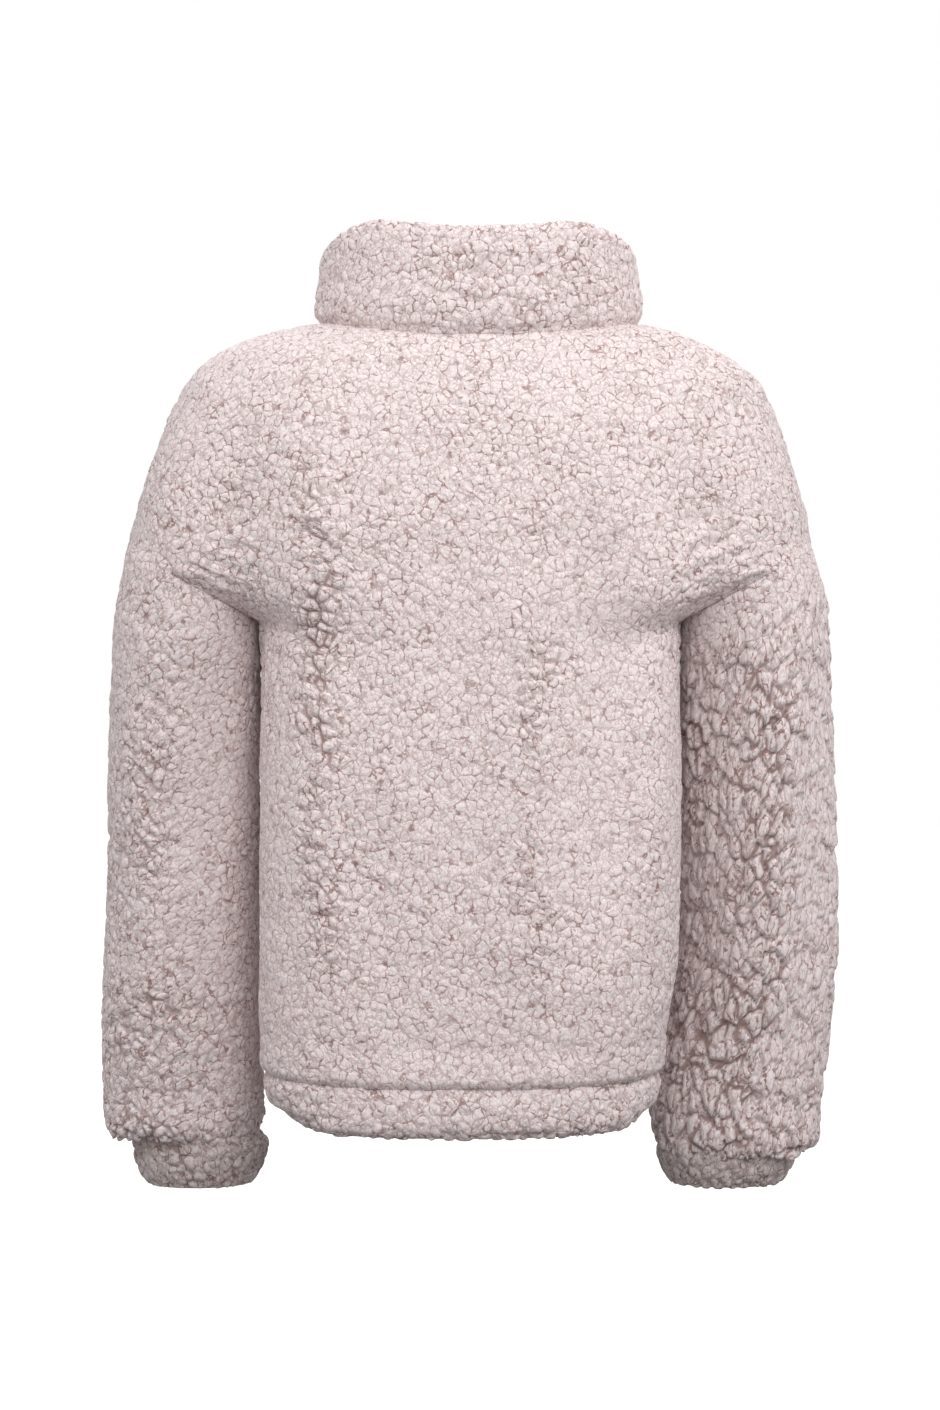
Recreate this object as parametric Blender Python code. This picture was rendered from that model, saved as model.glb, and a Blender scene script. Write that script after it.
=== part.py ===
"""Child's teddy-fleece zip jacket, filled out as if worn, with nothing inside it.

The front faces -Y, the wearer's left side is +X and +Z is up. The origin is where the wearer
holds the jacket up: the middle of the neck opening, level with the tops of the shoulders.
Every cloth piece is a wall whose outer face is the tips of the pile and whose inner face is the
knitted backing, cut along the seams of the real garment: back, two fronts, two drop-shoulder
sleeves, two cuffs, a stand collar and a hem band, with a separating zip up the front.
"""

import bmesh
import bpy
import numpy as np

# Cloth and seams
PILE_WALL = 0.008
SEAM_WALL = 0.004
WALL_GROWTH = 0.45
EDGE_WALL = 0.0035
SEAM_GAP = 0.0004

# Zip, a moulded-tooth separating zip of the 5 mm class
ZIP_GAP_HALF = 0.0055
ZIP_FLAT_SHARE = 0.036
ZIP_RISE_SHARE = 0.100
TAPE_WIDTH = 0.0094
TAPE_THICK = 0.0007
TAPE_EDGE = 0.0004
TAPE_EDGE_IN_SLIDER = 0.0016
TAPE_CLEAR = 0.0004
CHAIN_WIDTH = 0.0056
CHAIN_THICK = 0.0024
ZIP_CLEAR = 0.0003
BOX_WIDTH = 0.0088
BOX_LENGTH = 0.0080
SLIDER_WIDTH = 0.0088
SLIDER_LENGTH = 0.0115
SLIDER_PLATE = 0.0011
SLIDER_POST = 0.0022
SLIDER_POST_LENGTH = 0.0032
SLIDER_BELOW_TOP = 0.0100
BRIDGE_WIDTH = 0.0022
BRIDGE_THICK = 0.0010
BRIDGE_FOOT = 0.0012
BRIDGE_REACH = 0.0040
TAB_BAR = 0.0013
TAB_STAND_OFF = 0.0013
TAB_THICK = 0.0014
TAB_WIDTH = 0.0066
TAB_SLOT_HALF = 0.0018
TAB_SLOT_LENGTH = 0.0066
TAB_LENGTH = 0.0300
TAB_LAP = 0.0010
# Rows of the zip's strips keep this far from an end, and tapes part this far below the post
STATION_CLEAR = 0.0010
TAPE_MEETS = 0.0040
# Faces of blocks that would lie in one plane are set this far apart before they are united
BLOCK_STEP = 0.0001

# The armhole ring round the upper arm, from its top over the outside to the underarm
RING_TOP_X = 0.2125
RING_TOP_Z = -0.139
UNDERARM_X = 0.127
UNDERARM_Z = -0.186
RING_HALF_DEPTH = 0.060
# Under the arm the seam's common direction turns down, over this share of the half ring
UNDERARM_TURN = 0.6
UNDERARM_SPREAD = 0.45
UNDERARM_EASE = 0.40

# How many steps the meshes take
ROW_STEPS = {"shoulder": 9, "ring": 12, "side": 9}
HALF_COLUMNS = 11
ROW_SAMPLES = 160

# One row for each level of the body, from the neck seam to the hem band's seam. The edge is the
# shoulder seam, then the side seam; the middle is the centre back or the front edge at the zip.
# Square is the superellipse's power. Lean widens the section to the back and narrows it in front.
# Columns: left_x, right_x, edge_z, back_y, back_z, front_y, front_z, square, lean
SHOULDER_LEVELS = (
    (0.0930, 0.1040, 0.0005, 0.0640, -0.0120, -0.0780, -0.0480, 2.10, 0.00),
    (0.1376, 0.1389, -0.0093, 0.0715, -0.0260, -0.0840, -0.0590, 2.15, 0.00),
    (0.1655, 0.1668, -0.0248, 0.0775, -0.0410, -0.0885, -0.0710, 2.20, 0.00),
    (0.1786, 0.1829, -0.0403, 0.0825, -0.0555, -0.0925, -0.0840, 2.25, 0.00),
    (0.1870, 0.1895, -0.0558, 0.0860, -0.0685, -0.0955, -0.0960, 2.30, 0.00),
    (0.1925, 0.1950, -0.0713, 0.0885, -0.0805, -0.0980, -0.1070, 2.35, 0.00),
    (0.1980, 0.2000, -0.0868, 0.0905, -0.0915, -0.1000, -0.1170, 2.40, 0.00),
    (0.2030, 0.2046, -0.1023, 0.0922, -0.1020, -0.1020, -0.1260, 2.40, 0.00),
    (0.2077, 0.2090, -0.1180, 0.0936, -0.1120, -0.1035, -0.1350, 2.40, 0.01),
    (RING_TOP_X, RING_TOP_X, RING_TOP_Z, 0.0950, -0.1240, -0.1050, -0.1460, 2.40, 0.03),
)
SIDE_LEVELS = (
    (UNDERARM_X, UNDERARM_X, UNDERARM_Z, 0.0985, -0.2150, -0.1090, -0.2220, 2.60, 0.10),
    (0.1242, 0.1250, -0.2260, 0.1000, -0.2460, -0.1105, -0.2520, 2.80, 0.13),
    (0.1240, 0.1250, -0.2650, 0.1010, -0.2800, -0.1115, -0.2840, 2.90, 0.14),
    (0.1240, 0.1245, -0.3040, 0.1018, -0.3150, -0.1120, -0.3170, 3.00, 0.14),
    (0.1238, 0.1240, -0.3420, 0.1022, -0.3500, -0.1122, -0.3510, 3.00, 0.14),
    (0.1240, 0.1230, -0.3770, 0.1022, -0.3830, -0.1120, -0.3840, 3.00, 0.14),
    (0.1250, 0.1200, -0.4100, 0.1018, -0.4150, -0.1112, -0.4150, 2.90, 0.14),
    (0.1250, 0.1165, -0.4360, 0.1010, -0.4410, -0.1100, -0.4400, 2.80, 0.13),
    (0.1230, 0.1130, -0.4590, 0.0990, -0.4640, -0.1080, -0.4630, 2.70, 0.12),
)

# Soft ridges and valleys of the hanging cloth, each from a top point to a bottom point. They fade
# out over a share of their length at each end, and where the cloth turns round to the side.
# Columns: top_x, top_z, bottom_x, bottom_z, half_width, height
FOLD_FADE = 0.4
FOLD_FROM_Y = 0.015
FOLD_FULL_Y = 0.055
BACK_FOLDS = (
    (0.096, -0.075, 0.094, -0.350, 0.016, 0.0035),
    (-0.028, -0.150, -0.030, -0.400, 0.015, 0.0035),
    (-0.072, -0.120, -0.084, -0.345, 0.019, -0.0070),
    (-0.124, -0.140, -0.106, -0.360, 0.016, 0.0045),
    (0.060, -0.300, 0.040, -0.440, 0.018, -0.0025),
    (-0.075, -0.395, -0.095, -0.450, 0.015, 0.0030),
)
FRONT_FOLDS = (
    (0.085, -0.120, 0.075, -0.360, 0.019, -0.0055),
    (-0.078, -0.130, -0.088, -0.370, 0.019, -0.0050),
    (0.104, -0.160, 0.100, -0.400, 0.014, 0.0040),
    (-0.104, -0.150, -0.098, -0.380, 0.014, 0.0040),
    (0.048, -0.280, 0.052, -0.440, 0.015, 0.0030),
    (-0.052, -0.260, -0.048, -0.430, 0.015, 0.0030),
)

# The valley between the back or front and the upper arm: how much of the depth it takes, by height.
# Columns of its levels: z, share of the depth
ARM_VALLEY_X = 0.141
ARM_VALLEY_WIDTH = 0.024
ARM_VALLEY_LEVELS = ((-0.240, 0.0), (-0.200, 0.05), (-0.160, 0.13), (-0.115, 0.12), (-0.050, 0.0))

# Sections of each sleeve from the armhole to the cuff, the wearer's left sleeve first. The tilt is
# the slope of the section's plane from the inside of the arm up to the outside.
# Columns: z, middle_x, middle_y, half_width, half_depth, tilt
RING_MIDDLE = ((RING_TOP_Z + UNDERARM_Z) / 2, (RING_TOP_X + UNDERARM_X) / 2)
RING_HALF_WIDTH = (RING_TOP_X - UNDERARM_X) / 2
RING_TILT = (RING_TOP_Z - UNDERARM_Z) / (RING_TOP_X - UNDERARM_X)
SLEEVE_LEVELS = {
    1: (
        (*RING_MIDDLE, 0.0000, RING_HALF_WIDTH, RING_HALF_DEPTH, RING_TILT),
        (-0.1950, 0.1743, -0.0010, 0.0452, 0.0580, 0.380),
        (-0.2350, 0.1762, -0.0045, 0.0466, 0.0550, 0.200),
        (-0.2750, 0.1777, -0.0090, 0.0473, 0.0530, 0.090),
        (-0.3200, 0.1779, -0.0140, 0.0478, 0.0520, 0.020),
        (-0.3650, 0.1792, -0.0190, 0.0482, 0.0515, 0.000),
        (-0.4100, 0.1805, -0.0240, 0.0494, 0.0515, 0.000),
        (-0.4500, 0.1803, -0.0280, 0.0503, 0.0510, 0.010),
        (-0.4770, 0.1795, -0.0305, 0.0505, 0.0500, 0.020),
    ),
    -1: (
        (*RING_MIDDLE, 0.0000, RING_HALF_WIDTH, RING_HALF_DEPTH, RING_TILT),
        (-0.1950, 0.1754, -0.0010, 0.0459, 0.0580, 0.400),
        (-0.2350, 0.1770, -0.0060, 0.0470, 0.0555, 0.210),
        (-0.2750, 0.1792, -0.0125, 0.0480, 0.0535, 0.090),
        (-0.3200, 0.1800, -0.0200, 0.0488, 0.0525, 0.020),
        (-0.3650, 0.1812, -0.0285, 0.0495, 0.0520, 0.000),
        (-0.4100, 0.1792, -0.0370, 0.0506, 0.0520, -0.020),
        (-0.4500, 0.1740, -0.0450, 0.0522, 0.0515, -0.030),
        (-0.4880, 0.1682, -0.0500, 0.0536, 0.0515, -0.030),
    ),
}
# The sleeve's end puffs out over the cuff: shares of its last section, and heights below it
SLEEVE_END = ((0.990, -0.0100), (0.930, -0.0175), (0.830, -0.0205))
SLEEVE_ROWS = 17
SLEEVE_EASE = 0.060

# Folds of the sleeves, by angle round the arm: 0 outside, 90 back, 180 inside, 270 front.
# Columns: top_angle, top_z, bottom_angle, bottom_z, half_angle, height
SLEEVE_FOLDS = {
    1: (
        (120, -0.205, 100, -0.330, 24, -0.0035),
        (60, -0.250, 75, -0.440, 24, 0.0030),
        (285, -0.210, 255, -0.330, 24, -0.0040),
        (310, -0.300, 290, -0.450, 24, 0.0030),
    ),
    -1: (
        (75, -0.205, 105, -0.430, 20, 0.0055),
        (40, -0.210, 60, -0.440, 22, -0.0035),
        (130, -0.210, 150, -0.400, 20, -0.0030),
        (280, -0.210, 250, -0.340, 24, -0.0040),
        (310, -0.300, 290, -0.450, 24, 0.0030),
    ),
}

# Cuff: its sizes by side, and its outline as shares of the half width and of the length
CUFF_HALF_WIDTH = {1: 0.0425, -1: 0.0440}
CUFF_HALF_DEPTH = {1: 0.0430, -1: 0.0440}
CUFF_LENGTH = {1: 0.0375, -1: 0.0290}
CUFF_SHIFT = {1: 0.0098, -1: 0.0062}
CUFF_SHAPE = ((1.000, -0.28), (0.970, -0.55), (0.895, -0.80), (0.780, -1.00))
CUFF_WALL = (0.0036, 0.0050, 0.0050, 0.0044, 0.0030)

# Hem band: how far it stands outside the body's seam, the height below it and the wall's thickness
HEM_SHAPE = (
    (0.0016, -0.0070, 0.0078),
    (0.0012, -0.0170, 0.0078),
    (-0.0012, -0.0250, 0.0066),
    (-0.0070, -0.0300, 0.0030),
)

# Collar: the height at the centre back, side and front, with the quarter turns over which it
# rises from the side. Its front leans out past a turn, over a span of turns. Its rows hold height
# share, lean and wall.
COLLAR_RISE = {"back": 0.0660, "side": 0.0480, "front": 0.0600}
COLLAR_RISE_SPAN = {"back": 0.45, "front": 0.77}
COLLAR_FRONT_LEAN = 0.0045
COLLAR_LEAN_FROM = 0.31
COLLAR_LEAN_SPAN = 0.63
COLLAR_SHAPE = (
    (0.12, 0.0026, 0.0105),
    (0.30, 0.0026, 0.0130),
    (0.52, 0.0006, 0.0135),
    (0.74, -0.0004, 0.0130),
    (0.91, -0.0026, 0.0105),
    (1.00, -0.0076, 0.0035),
)


def cubic(table, places, at):
    """Smooth curve through the rows of a table at the given places, read at other places.

    Each span is a cubic whose end slopes are the mean slopes of the spans beside it.
    """
    rows, places, at = np.asarray(table, float), np.asarray(places, float), np.asarray(at, float)
    slopes = np.gradient(rows, places, axis=0)
    span = np.clip(np.searchsorted(places, at, side="right") - 1, 0, len(places) - 2)
    length = (places[span + 1] - places[span])[:, None]
    t = (at - places[span])[:, None] / length
    return (
        (2 * t**3 - 3 * t**2 + 1) * rows[span]
        + (t**3 - 2 * t**2 + t) * length * slopes[span]
        + (3 * t**2 - 2 * t**3) * rows[span + 1]
        + (t**3 - t**2) * length * slopes[span + 1]
    )


def smooth_step(share):
    """0 before 0, 1 after 1, and an S curve between."""
    share = np.clip(share, 0.0, 1.0)
    return share * share * (3 - 2 * share)


def unit(vectors):
    return vectors / np.maximum(np.linalg.norm(vectors, axis=-1, keepdims=True), 1e-12)


def evenly(points, shares):
    """Points read along a line at the given shares of its length."""
    steps = np.linalg.norm(np.diff(points, axis=0), axis=1)
    along = np.concatenate([[0.0], np.cumsum(steps)])
    at = np.asarray(shares) * along[-1]
    return np.stack([np.interp(at, along, points[:, k]) for k in range(3)], axis=1)


def body_levels():
    """The body's levels, read at every mesh row, and the angle round the armhole at each row.

    The rows go down the shoulder seam, round half of the armhole and down the side seam. The
    angle is 0 on the shoulder seam and pi on the side seam.
    """
    shoulder, side = np.array(SHOULDER_LEVELS), np.array(SIDE_LEVELS)
    steps = np.hypot(np.diff(shoulder[:, 0]), np.diff(shoulder[:, 2]))
    drop = np.concatenate([[0.0], np.cumsum(steps)])
    upper = cubic(shoulder, drop, np.linspace(0, drop[-1], ROW_STEPS["shoulder"] + 1))
    lower = cubic(side, -side[:, 2], -np.linspace(side[0, 2], side[-1, 2], ROW_STEPS["side"] + 1))
    share = np.linspace(0, 1, ROW_STEPS["ring"] + 1)
    ring = shoulder[-1] + (side[0] - shoulder[-1]) * share[:, None]
    levels = np.concatenate([upper[:-1], ring, lower[1:]])
    angle = np.concatenate([np.zeros(len(upper) - 1), share * np.pi, np.full(len(lower) - 1, np.pi)])
    return levels, angle


def fold_lift(folds, across, z):
    """Height of the folds at points of a panel: a sum of soft bars whose ends fade out."""
    lift = np.zeros_like(across)
    for top, top_z, bottom, bottom_z, half_width, height in folds:
        share = (top_z - z) / (top_z - bottom_z)
        away = across - top - (bottom - top) * share
        fade = smooth_step(share / FOLD_FADE + 0.5) * smooth_step((1 - share) / FOLD_FADE + 0.5)
        lift += height * np.exp(-((away / half_width) ** 2)) * fade
    return lift


def half_panel(side, face, shares):
    """Outer points of half the back, or of one front: rows from neck to hem, columns from the middle.

    Each row is part of a superellipse that leaves the middle square on and ends on the seam. On
    the armhole rows it ends early, on the ring, and its width is worked out from that end.
    """
    levels, ring_angle = body_levels()
    left_x, right_x, edge_z, back_y, back_z, front_y, front_z, square, lean = levels.T
    if face == "back":
        middle_x, middle_y, middle_z = (left_x - right_x) / 2, back_y, back_z
    else:
        middle_x, middle_y, middle_z = np.full_like(left_x, side * ZIP_GAP_HALF), front_y, front_z
        lean = -lean
    on_ring = (ring_angle > 0) & (ring_angle < np.pi)
    ring_x = RING_MIDDLE[1] + RING_HALF_WIDTH * np.cos(ring_angle)
    ring_y = np.where(on_ring, RING_HALF_DEPTH * np.sin(ring_angle), 0.0)
    ring_z = RING_MIDDLE[0] + RING_HALF_WIDTH * RING_TILT * np.cos(ring_angle)
    end_x = np.where(on_ring, ring_x, left_x if side > 0 else right_x) - side * middle_x
    end_z = np.where(on_ring, ring_z, edge_z)
    end_share = ring_y / np.abs(middle_y)
    end_turn = np.arccos(end_share ** (square / 2))
    width = end_x / (np.sin(end_turn) ** (2 / square) * (1 + lean * end_share))
    rows = []
    for row in range(len(levels)):
        turn = np.linspace(0, end_turn[row], ROW_SAMPLES)
        power = 2 / square[row]
        depth = np.clip(np.cos(turn), 0, 1) ** power
        x = side * width[row] * np.sin(turn) ** power * (1 + lean[row] * depth) + middle_x[row]
        z = middle_z[row] + (end_z[row] - middle_z[row]) * smooth_step(turn / end_turn[row])
        rows.append(evenly(np.stack([x, middle_y[row] * depth, z], axis=1), shares))
    grid = np.array(rows)
    depth, amount = np.array(ARM_VALLEY_LEVELS).T
    valley = np.interp(grid[..., 2], depth, amount)
    valley *= np.exp(-(((np.abs(grid[..., 0]) - ARM_VALLEY_X) / ARM_VALLEY_WIDTH) ** 2))
    grid[..., 1] *= 1 - valley
    folds = BACK_FOLDS if face == "back" else FRONT_FOLDS
    facing = smooth_step((np.abs(grid[..., 1]) - FOLD_FROM_Y) / (FOLD_FULL_Y - FOLD_FROM_Y))
    grid[..., 1] += np.sign(middle_y[0]) * fold_lift(folds, grid[..., 0], grid[..., 2]) * facing
    return grid


def sleeve_rows(side, ring):
    """Outer points of a sleeve: closed rows from the armhole ring down to the cuff.

    Every row is an ellipse from the table, and near the armhole it eases onto the ring's points.
    """
    table = np.array(SLEEVE_LEVELS[side])
    along = np.concatenate([[0.0], np.cumsum(np.abs(np.diff(table[:, 0])))])
    sections = cubic(table, along, np.linspace(0, along[-1], SLEEVE_ROWS))
    shares = np.ones(SLEEVE_ROWS)
    for share, drop in SLEEVE_END:
        end = table[-1].copy()
        end[0] += drop
        sections = np.concatenate([sections, [end]])
        shares = np.append(shares, share)
    angle = np.linspace(0, 2 * np.pi, len(ring), endpoint=False)
    z, middle_x, middle_y, half_width, half_depth, tilt = (column[:, None] for column in sections.T)
    reach = shares[:, None] * half_width * np.cos(angle)
    grid = np.stack(
        [
            side * (middle_x + reach),
            middle_y + shares[:, None] * half_depth * np.sin(angle),
            z + tilt * reach,
        ],
        axis=2,
    )
    outward = unit(np.stack([side * np.cos(angle), np.sin(angle), 0 * angle], axis=1))
    degrees = np.degrees(angle)[None, :] + np.zeros_like(z)
    lift = fold_lift(SLEEVE_FOLDS[side], degrees, grid[..., 2])
    lift[SLEEVE_ROWS:] = lift[SLEEVE_ROWS - 1]
    grid += lift[..., None] * outward
    ease = 1 - smooth_step((grid[0, 0, 2] - z) / SLEEVE_EASE)
    return grid + (ring - grid[0]) * ease[..., None]


def cuff_rows(side, seam):
    """Outer points of a cuff: closed rows from the sleeve's end down to the wrist opening."""
    middle = seam.mean(axis=0)
    angle = np.linspace(0, 2 * np.pi, len(seam), endpoint=False)
    rows = [seam]
    for share, drop in CUFF_SHAPE:
        rows.append(
            np.stack(
                [
                    middle[0] + side * (share * CUFF_HALF_WIDTH[side] * np.cos(angle) - CUFF_SHIFT[side]),
                    middle[1] + share * CUFF_HALF_DEPTH[side] * np.sin(angle),
                    middle[2] + drop * CUFF_LENGTH[side] + 0 * angle,
                ],
                axis=1,
            )
        )
    return np.array(rows)


def normals_of(grid, inside, closed=False):
    """Unit normals at a grid's points, turned away from the points given as inside."""
    wrapped = np.concatenate([grid[:, -1:], grid, grid[:, :1]], axis=1) if closed else grid
    across = np.gradient(wrapped, axis=1)
    if closed:
        across = across[:, 1:-1]
    normals = unit(np.cross(across, np.gradient(grid, axis=0)))
    return normals * np.sign((normals * (grid - inside)).sum())


def share_normals(pieces):
    """Where pieces meet they get one common normal, so their cut edges lie face to face."""
    points = np.concatenate([piece["outer"].reshape(-1, 3) for piece in pieces.values()])
    normals = np.concatenate([piece["normals"].reshape(-1, 3) for piece in pieces.values()])
    group = np.unique(np.round(points, 7), axis=0, return_inverse=True)[1].ravel()
    total = np.zeros((group.max() + 1, 3))
    np.add.at(total, group, normals)
    common = unit(total)[group]
    start = 0
    for piece in pieces.values():
        count = piece["outer"].size // 3
        piece["normals"] = common[start : start + count].reshape(piece["outer"].shape)
        start += count


def into_piece(edge, normals, beside, closed):
    """Directions square to an edge and to the cloth's normals, pointing into the piece."""
    line = np.concatenate([edge[-1:], edge, edge[:1]]) if closed else edge
    along = np.gradient(line, axis=0)
    if closed:
        along = along[1:-1]
    inward = unit(np.cross(normals, along))
    return inward * np.sign((inward * (beside - edge)).sum())


def open_seams(outer, inner, normals, closed):
    """Moves the edge rows and columns in along the cloth, which leaves half a seam's gap at each."""
    shift = np.zeros_like(outer)
    shift[0] += into_piece(outer[0], normals[0], outer[1], closed)
    shift[-1] += into_piece(outer[-1], normals[-1], outer[-2], closed)
    if not closed:
        shift[:, 0] += into_piece(outer[:, 0], normals[:, 0], outer[:, 1], False)
        shift[:, -1] += into_piece(outer[:, -1], normals[:, -1], outer[:, -2], False)
    return outer + shift * SEAM_GAP / 2, inner + shift * SEAM_GAP / 2


def wall_near(outer, edges):
    """Wall thickness at every point: thin on the edges given, and full further in."""
    points = outer.reshape(-1, 3)
    away = np.linalg.norm(points[:, None] - np.concatenate(edges)[None], axis=2).min(axis=1)
    wall = np.minimum(PILE_WALL, SEAM_WALL + WALL_GROWTH * away)
    return wall.reshape(outer.shape[:2])


def wall_object(name, outer, inner, closed, look):
    """One closed body from an outer and an inner grid: two skins, joined along their open edges."""
    rows, columns = outer.shape[:2]
    points = np.concatenate([outer.reshape(-1, 3), inner.reshape(-1, 3)])
    near = np.arange(rows * columns).reshape(rows, columns)
    if closed:
        near = np.concatenate([near, near[:, :1]], axis=1)
    far = near + rows * columns

    def quads(a, b, c, d):
        return np.stack([a.ravel(), b.ravel(), c.ravel(), d.ravel()], axis=1)

    faces = [
        quads(near[:-1, :-1], near[:-1, 1:], near[1:, 1:], near[1:, :-1]),
        quads(far[:-1, :-1], far[1:, :-1], far[1:, 1:], far[:-1, 1:]),
        quads(near[0, :-1], far[0, :-1], far[0, 1:], near[0, 1:]),
        quads(near[-1, :-1], near[-1, 1:], far[-1, 1:], far[-1, :-1]),
    ]
    if not closed:
        faces.append(quads(near[:-1, 0], near[1:, 0], far[1:, 0], far[:-1, 0]))
        faces.append(quads(near[:-1, -1], far[:-1, -1], far[1:, -1], near[1:, -1]))
    mesh = bpy.data.meshes.new(name)
    mesh.from_pydata(points.tolist(), [], np.concatenate(faces).tolist())
    return solid(name, mesh, look)


def solid(name, mesh, look):
    """Turns every face outward, shades the mesh and links it as an object."""
    shape = bmesh.new()
    shape.from_mesh(mesh)
    bmesh.ops.triangulate(shape, faces=shape.faces)
    bmesh.ops.recalc_face_normals(shape, faces=shape.faces)
    shape.to_mesh(mesh)
    shape.free()
    mesh.shade_smooth()
    mesh.set_sharp_from_angle(angle=np.radians(50))
    mesh.materials.append(look)
    piece = bpy.data.objects.new(name, mesh)
    bpy.context.scene.collection.objects.link(piece)
    return piece


def block(x_span, out_span, up_span, origin, out, up):
    """A box mesh given by spans across, outward and upward from an origin on the zip line."""
    shape = bmesh.new()
    bmesh.ops.create_cube(shape, size=1.0)
    for vertex in shape.verts:
        x, o, u = (
            sum(span) / 2 + place * (span[1] - span[0])
            for span, place in zip((x_span, out_span, up_span), vertex.co)
        )
        vertex.co = origin + np.array([x, 0.0, 0.0]) + out * o + up * u
    mesh = bpy.data.meshes.new("block")
    shape.to_mesh(mesh)
    shape.free()
    return mesh


def joined_blocks(name, meshes, look):
    """Unites box meshes into one body with exact unions."""
    body = solid(name, meshes[0], look)
    cutters = []
    for mesh in meshes[1:]:
        cutter = solid("union", mesh, look)
        cutters.append(cutter)
        union = body.modifiers.new("union", "BOOLEAN")
        union.operation = "UNION"
        union.solver = "EXACT"
        union.object = cutter
    bpy.context.view_layer.update()
    whole = bpy.data.meshes.new_from_object(body.evaluated_get(bpy.context.evaluated_depsgraph_get()))
    body.modifiers.clear()
    body.data = whole
    for cutter in cutters:
        bpy.data.objects.remove(cutter)
    return body


def material(name, colour, roughness, metallic=0.0):
    made = bpy.data.materials.new(name)
    made.use_nodes = True
    shader = made.node_tree.nodes["Principled BSDF"]
    shader.inputs["Base Color"].default_value = (*colour, 1.0)
    shader.inputs["Roughness"].default_value = roughness
    shader.inputs["Metallic"].default_value = metallic
    made.diffuse_color = (*colour, 1.0)
    return made


for old in list(bpy.data.objects):
    bpy.data.objects.remove(old)

fleece = material("dusty_pink_fleece", (0.62, 0.52, 0.51), 0.95)
tape_cloth = material("zip_tape_cloth", (0.50, 0.38, 0.37), 0.85)
zip_plastic = material("zip_teeth_plastic", (0.55, 0.43, 0.42), 0.45)
zip_metal = material("zip_slider_metal", (0.60, 0.58, 0.56), 0.30, 1.0)

# Back and fronts. The fronts keep a flat strip beside the zip before the pile rises.
even = np.linspace(0, 1, HALF_COLUMNS + 1)
front_shares = np.concatenate([[0.0, ZIP_FLAT_SHARE], np.linspace(ZIP_RISE_SHARE, 1, HALF_COLUMNS - 1)])
back_left = half_panel(1, "back", even)
back_right = half_panel(-1, "back", even)
front_left = half_panel(1, "front", front_shares)
front_right = half_panel(-1, "front", front_shares)
ring_rows = slice(ROW_STEPS["shoulder"], ROW_STEPS["shoulder"] + ROW_STEPS["ring"] + 1)
for back_half, front_half in ((back_left, front_left), (back_right, front_right)):
    seam_rows = np.r_[0 : ring_rows.start + 1, ring_rows.stop - 1 : len(back_half)]
    front_half[seam_rows, -1] = back_half[seam_rows, -1]
back = np.concatenate([back_left[:, ::-1], back_right[:, 1:]], axis=1)

pieces = {}
for name, grid in (("back", back), ("front_left", front_left), ("front_right", front_right)):
    pieces[name] = {"outer": grid, "closed": False, "normals": normals_of(grid, grid * [0, 0, 1])}

# Sleeves and cuffs. A ring goes from the shoulder over the back to the underarm and returns in front.
for side, back_half, front_half in ((1, back_left, front_left), (-1, back_right, front_right)):
    name = "left" if side > 0 else "right"
    ring = np.concatenate([back_half[ring_rows, -1], front_half[ring_rows, -1][-2:0:-1]])
    sleeve = sleeve_rows(side, ring)
    cuff = cuff_rows(side, sleeve[-1])
    for part, grid in (("sleeve_", sleeve), ("cuff_", cuff)):
        inside = grid.mean(axis=1, keepdims=True)
        pieces[part + name] = {"outer": grid, "closed": True, "normals": normals_of(grid, inside, True)}
    from_underarm = np.abs(np.linspace(0, 2, len(ring), endpoint=False) - 1)
    crotch = smooth_step((UNDERARM_SPREAD - from_underarm) / UNDERARM_EASE)
    pieces["sleeve_" + name]["normals"][0, :, 2] -= UNDERARM_TURN * crotch

# Collar and hem band, both from zip edge to zip edge round the back
neck = np.concatenate([front_left[0, :-1], back[0], front_right[0, -2::-1]])
hem = np.concatenate([front_left[-1, :-1], back[-1], front_right[-1, -2::-1]])
turn = np.arctan2(neck[:, 1], np.abs(neck[:, 0])) / (np.pi / 2)
away = unit(neck * [1, 1, 0])
rise = np.where(turn > 0, COLLAR_RISE["back"], COLLAR_RISE["front"]) - COLLAR_RISE["side"]
span = np.where(turn > 0, COLLAR_RISE_SPAN["back"], COLLAR_RISE_SPAN["front"])
rise = COLLAR_RISE["side"] + rise * smooth_step(np.abs(turn) / span)
front_share = smooth_step((-turn - COLLAR_LEAN_FROM) / COLLAR_LEAN_SPAN)[:, None]
collar = [neck]
for share, lean, _ in COLLAR_SHAPE:
    lean = lean * (1 - front_share) + COLLAR_FRONT_LEAN * share * front_share
    collar.append(neck + away * lean + np.outer(rise * share, [0, 0, 1]))
collar = np.array(collar)
band_away = unit(hem * [1, 1, 0])
band = [hem]
for out, drop, _ in HEM_SHAPE:
    band.append(hem + band_away * out + [0, 0, drop])
band = np.array(band)
for grid in (collar, band):
    grid[:, 0, 0], grid[:, -1, 0] = ZIP_GAP_HALF, -ZIP_GAP_HALF
    grid[1:, 1, 0], grid[1:, -2, 0] = neck[1, 0], neck[-2, 0]
pieces["collar"] = {"outer": collar, "closed": False, "normals": normals_of(collar, collar * [0, 0, 1])}
pieces["hem_band"] = {"outer": band, "closed": False, "normals": normals_of(band, band * [0, 0, 1])}

# Near the armhole's top the body's rows run almost along the seam: the sleeve alone turns the wall
inner_ring = slice(ring_rows.start + 1, ring_rows.start + ROW_STEPS["ring"] // 2)
for name, columns in (("back", [0, -1]), ("front_left", [-1]), ("front_right", [-1])):
    for column in columns:
        pieces[name]["normals"][inner_ring, column] = 0.0
share_normals(pieces)

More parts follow.
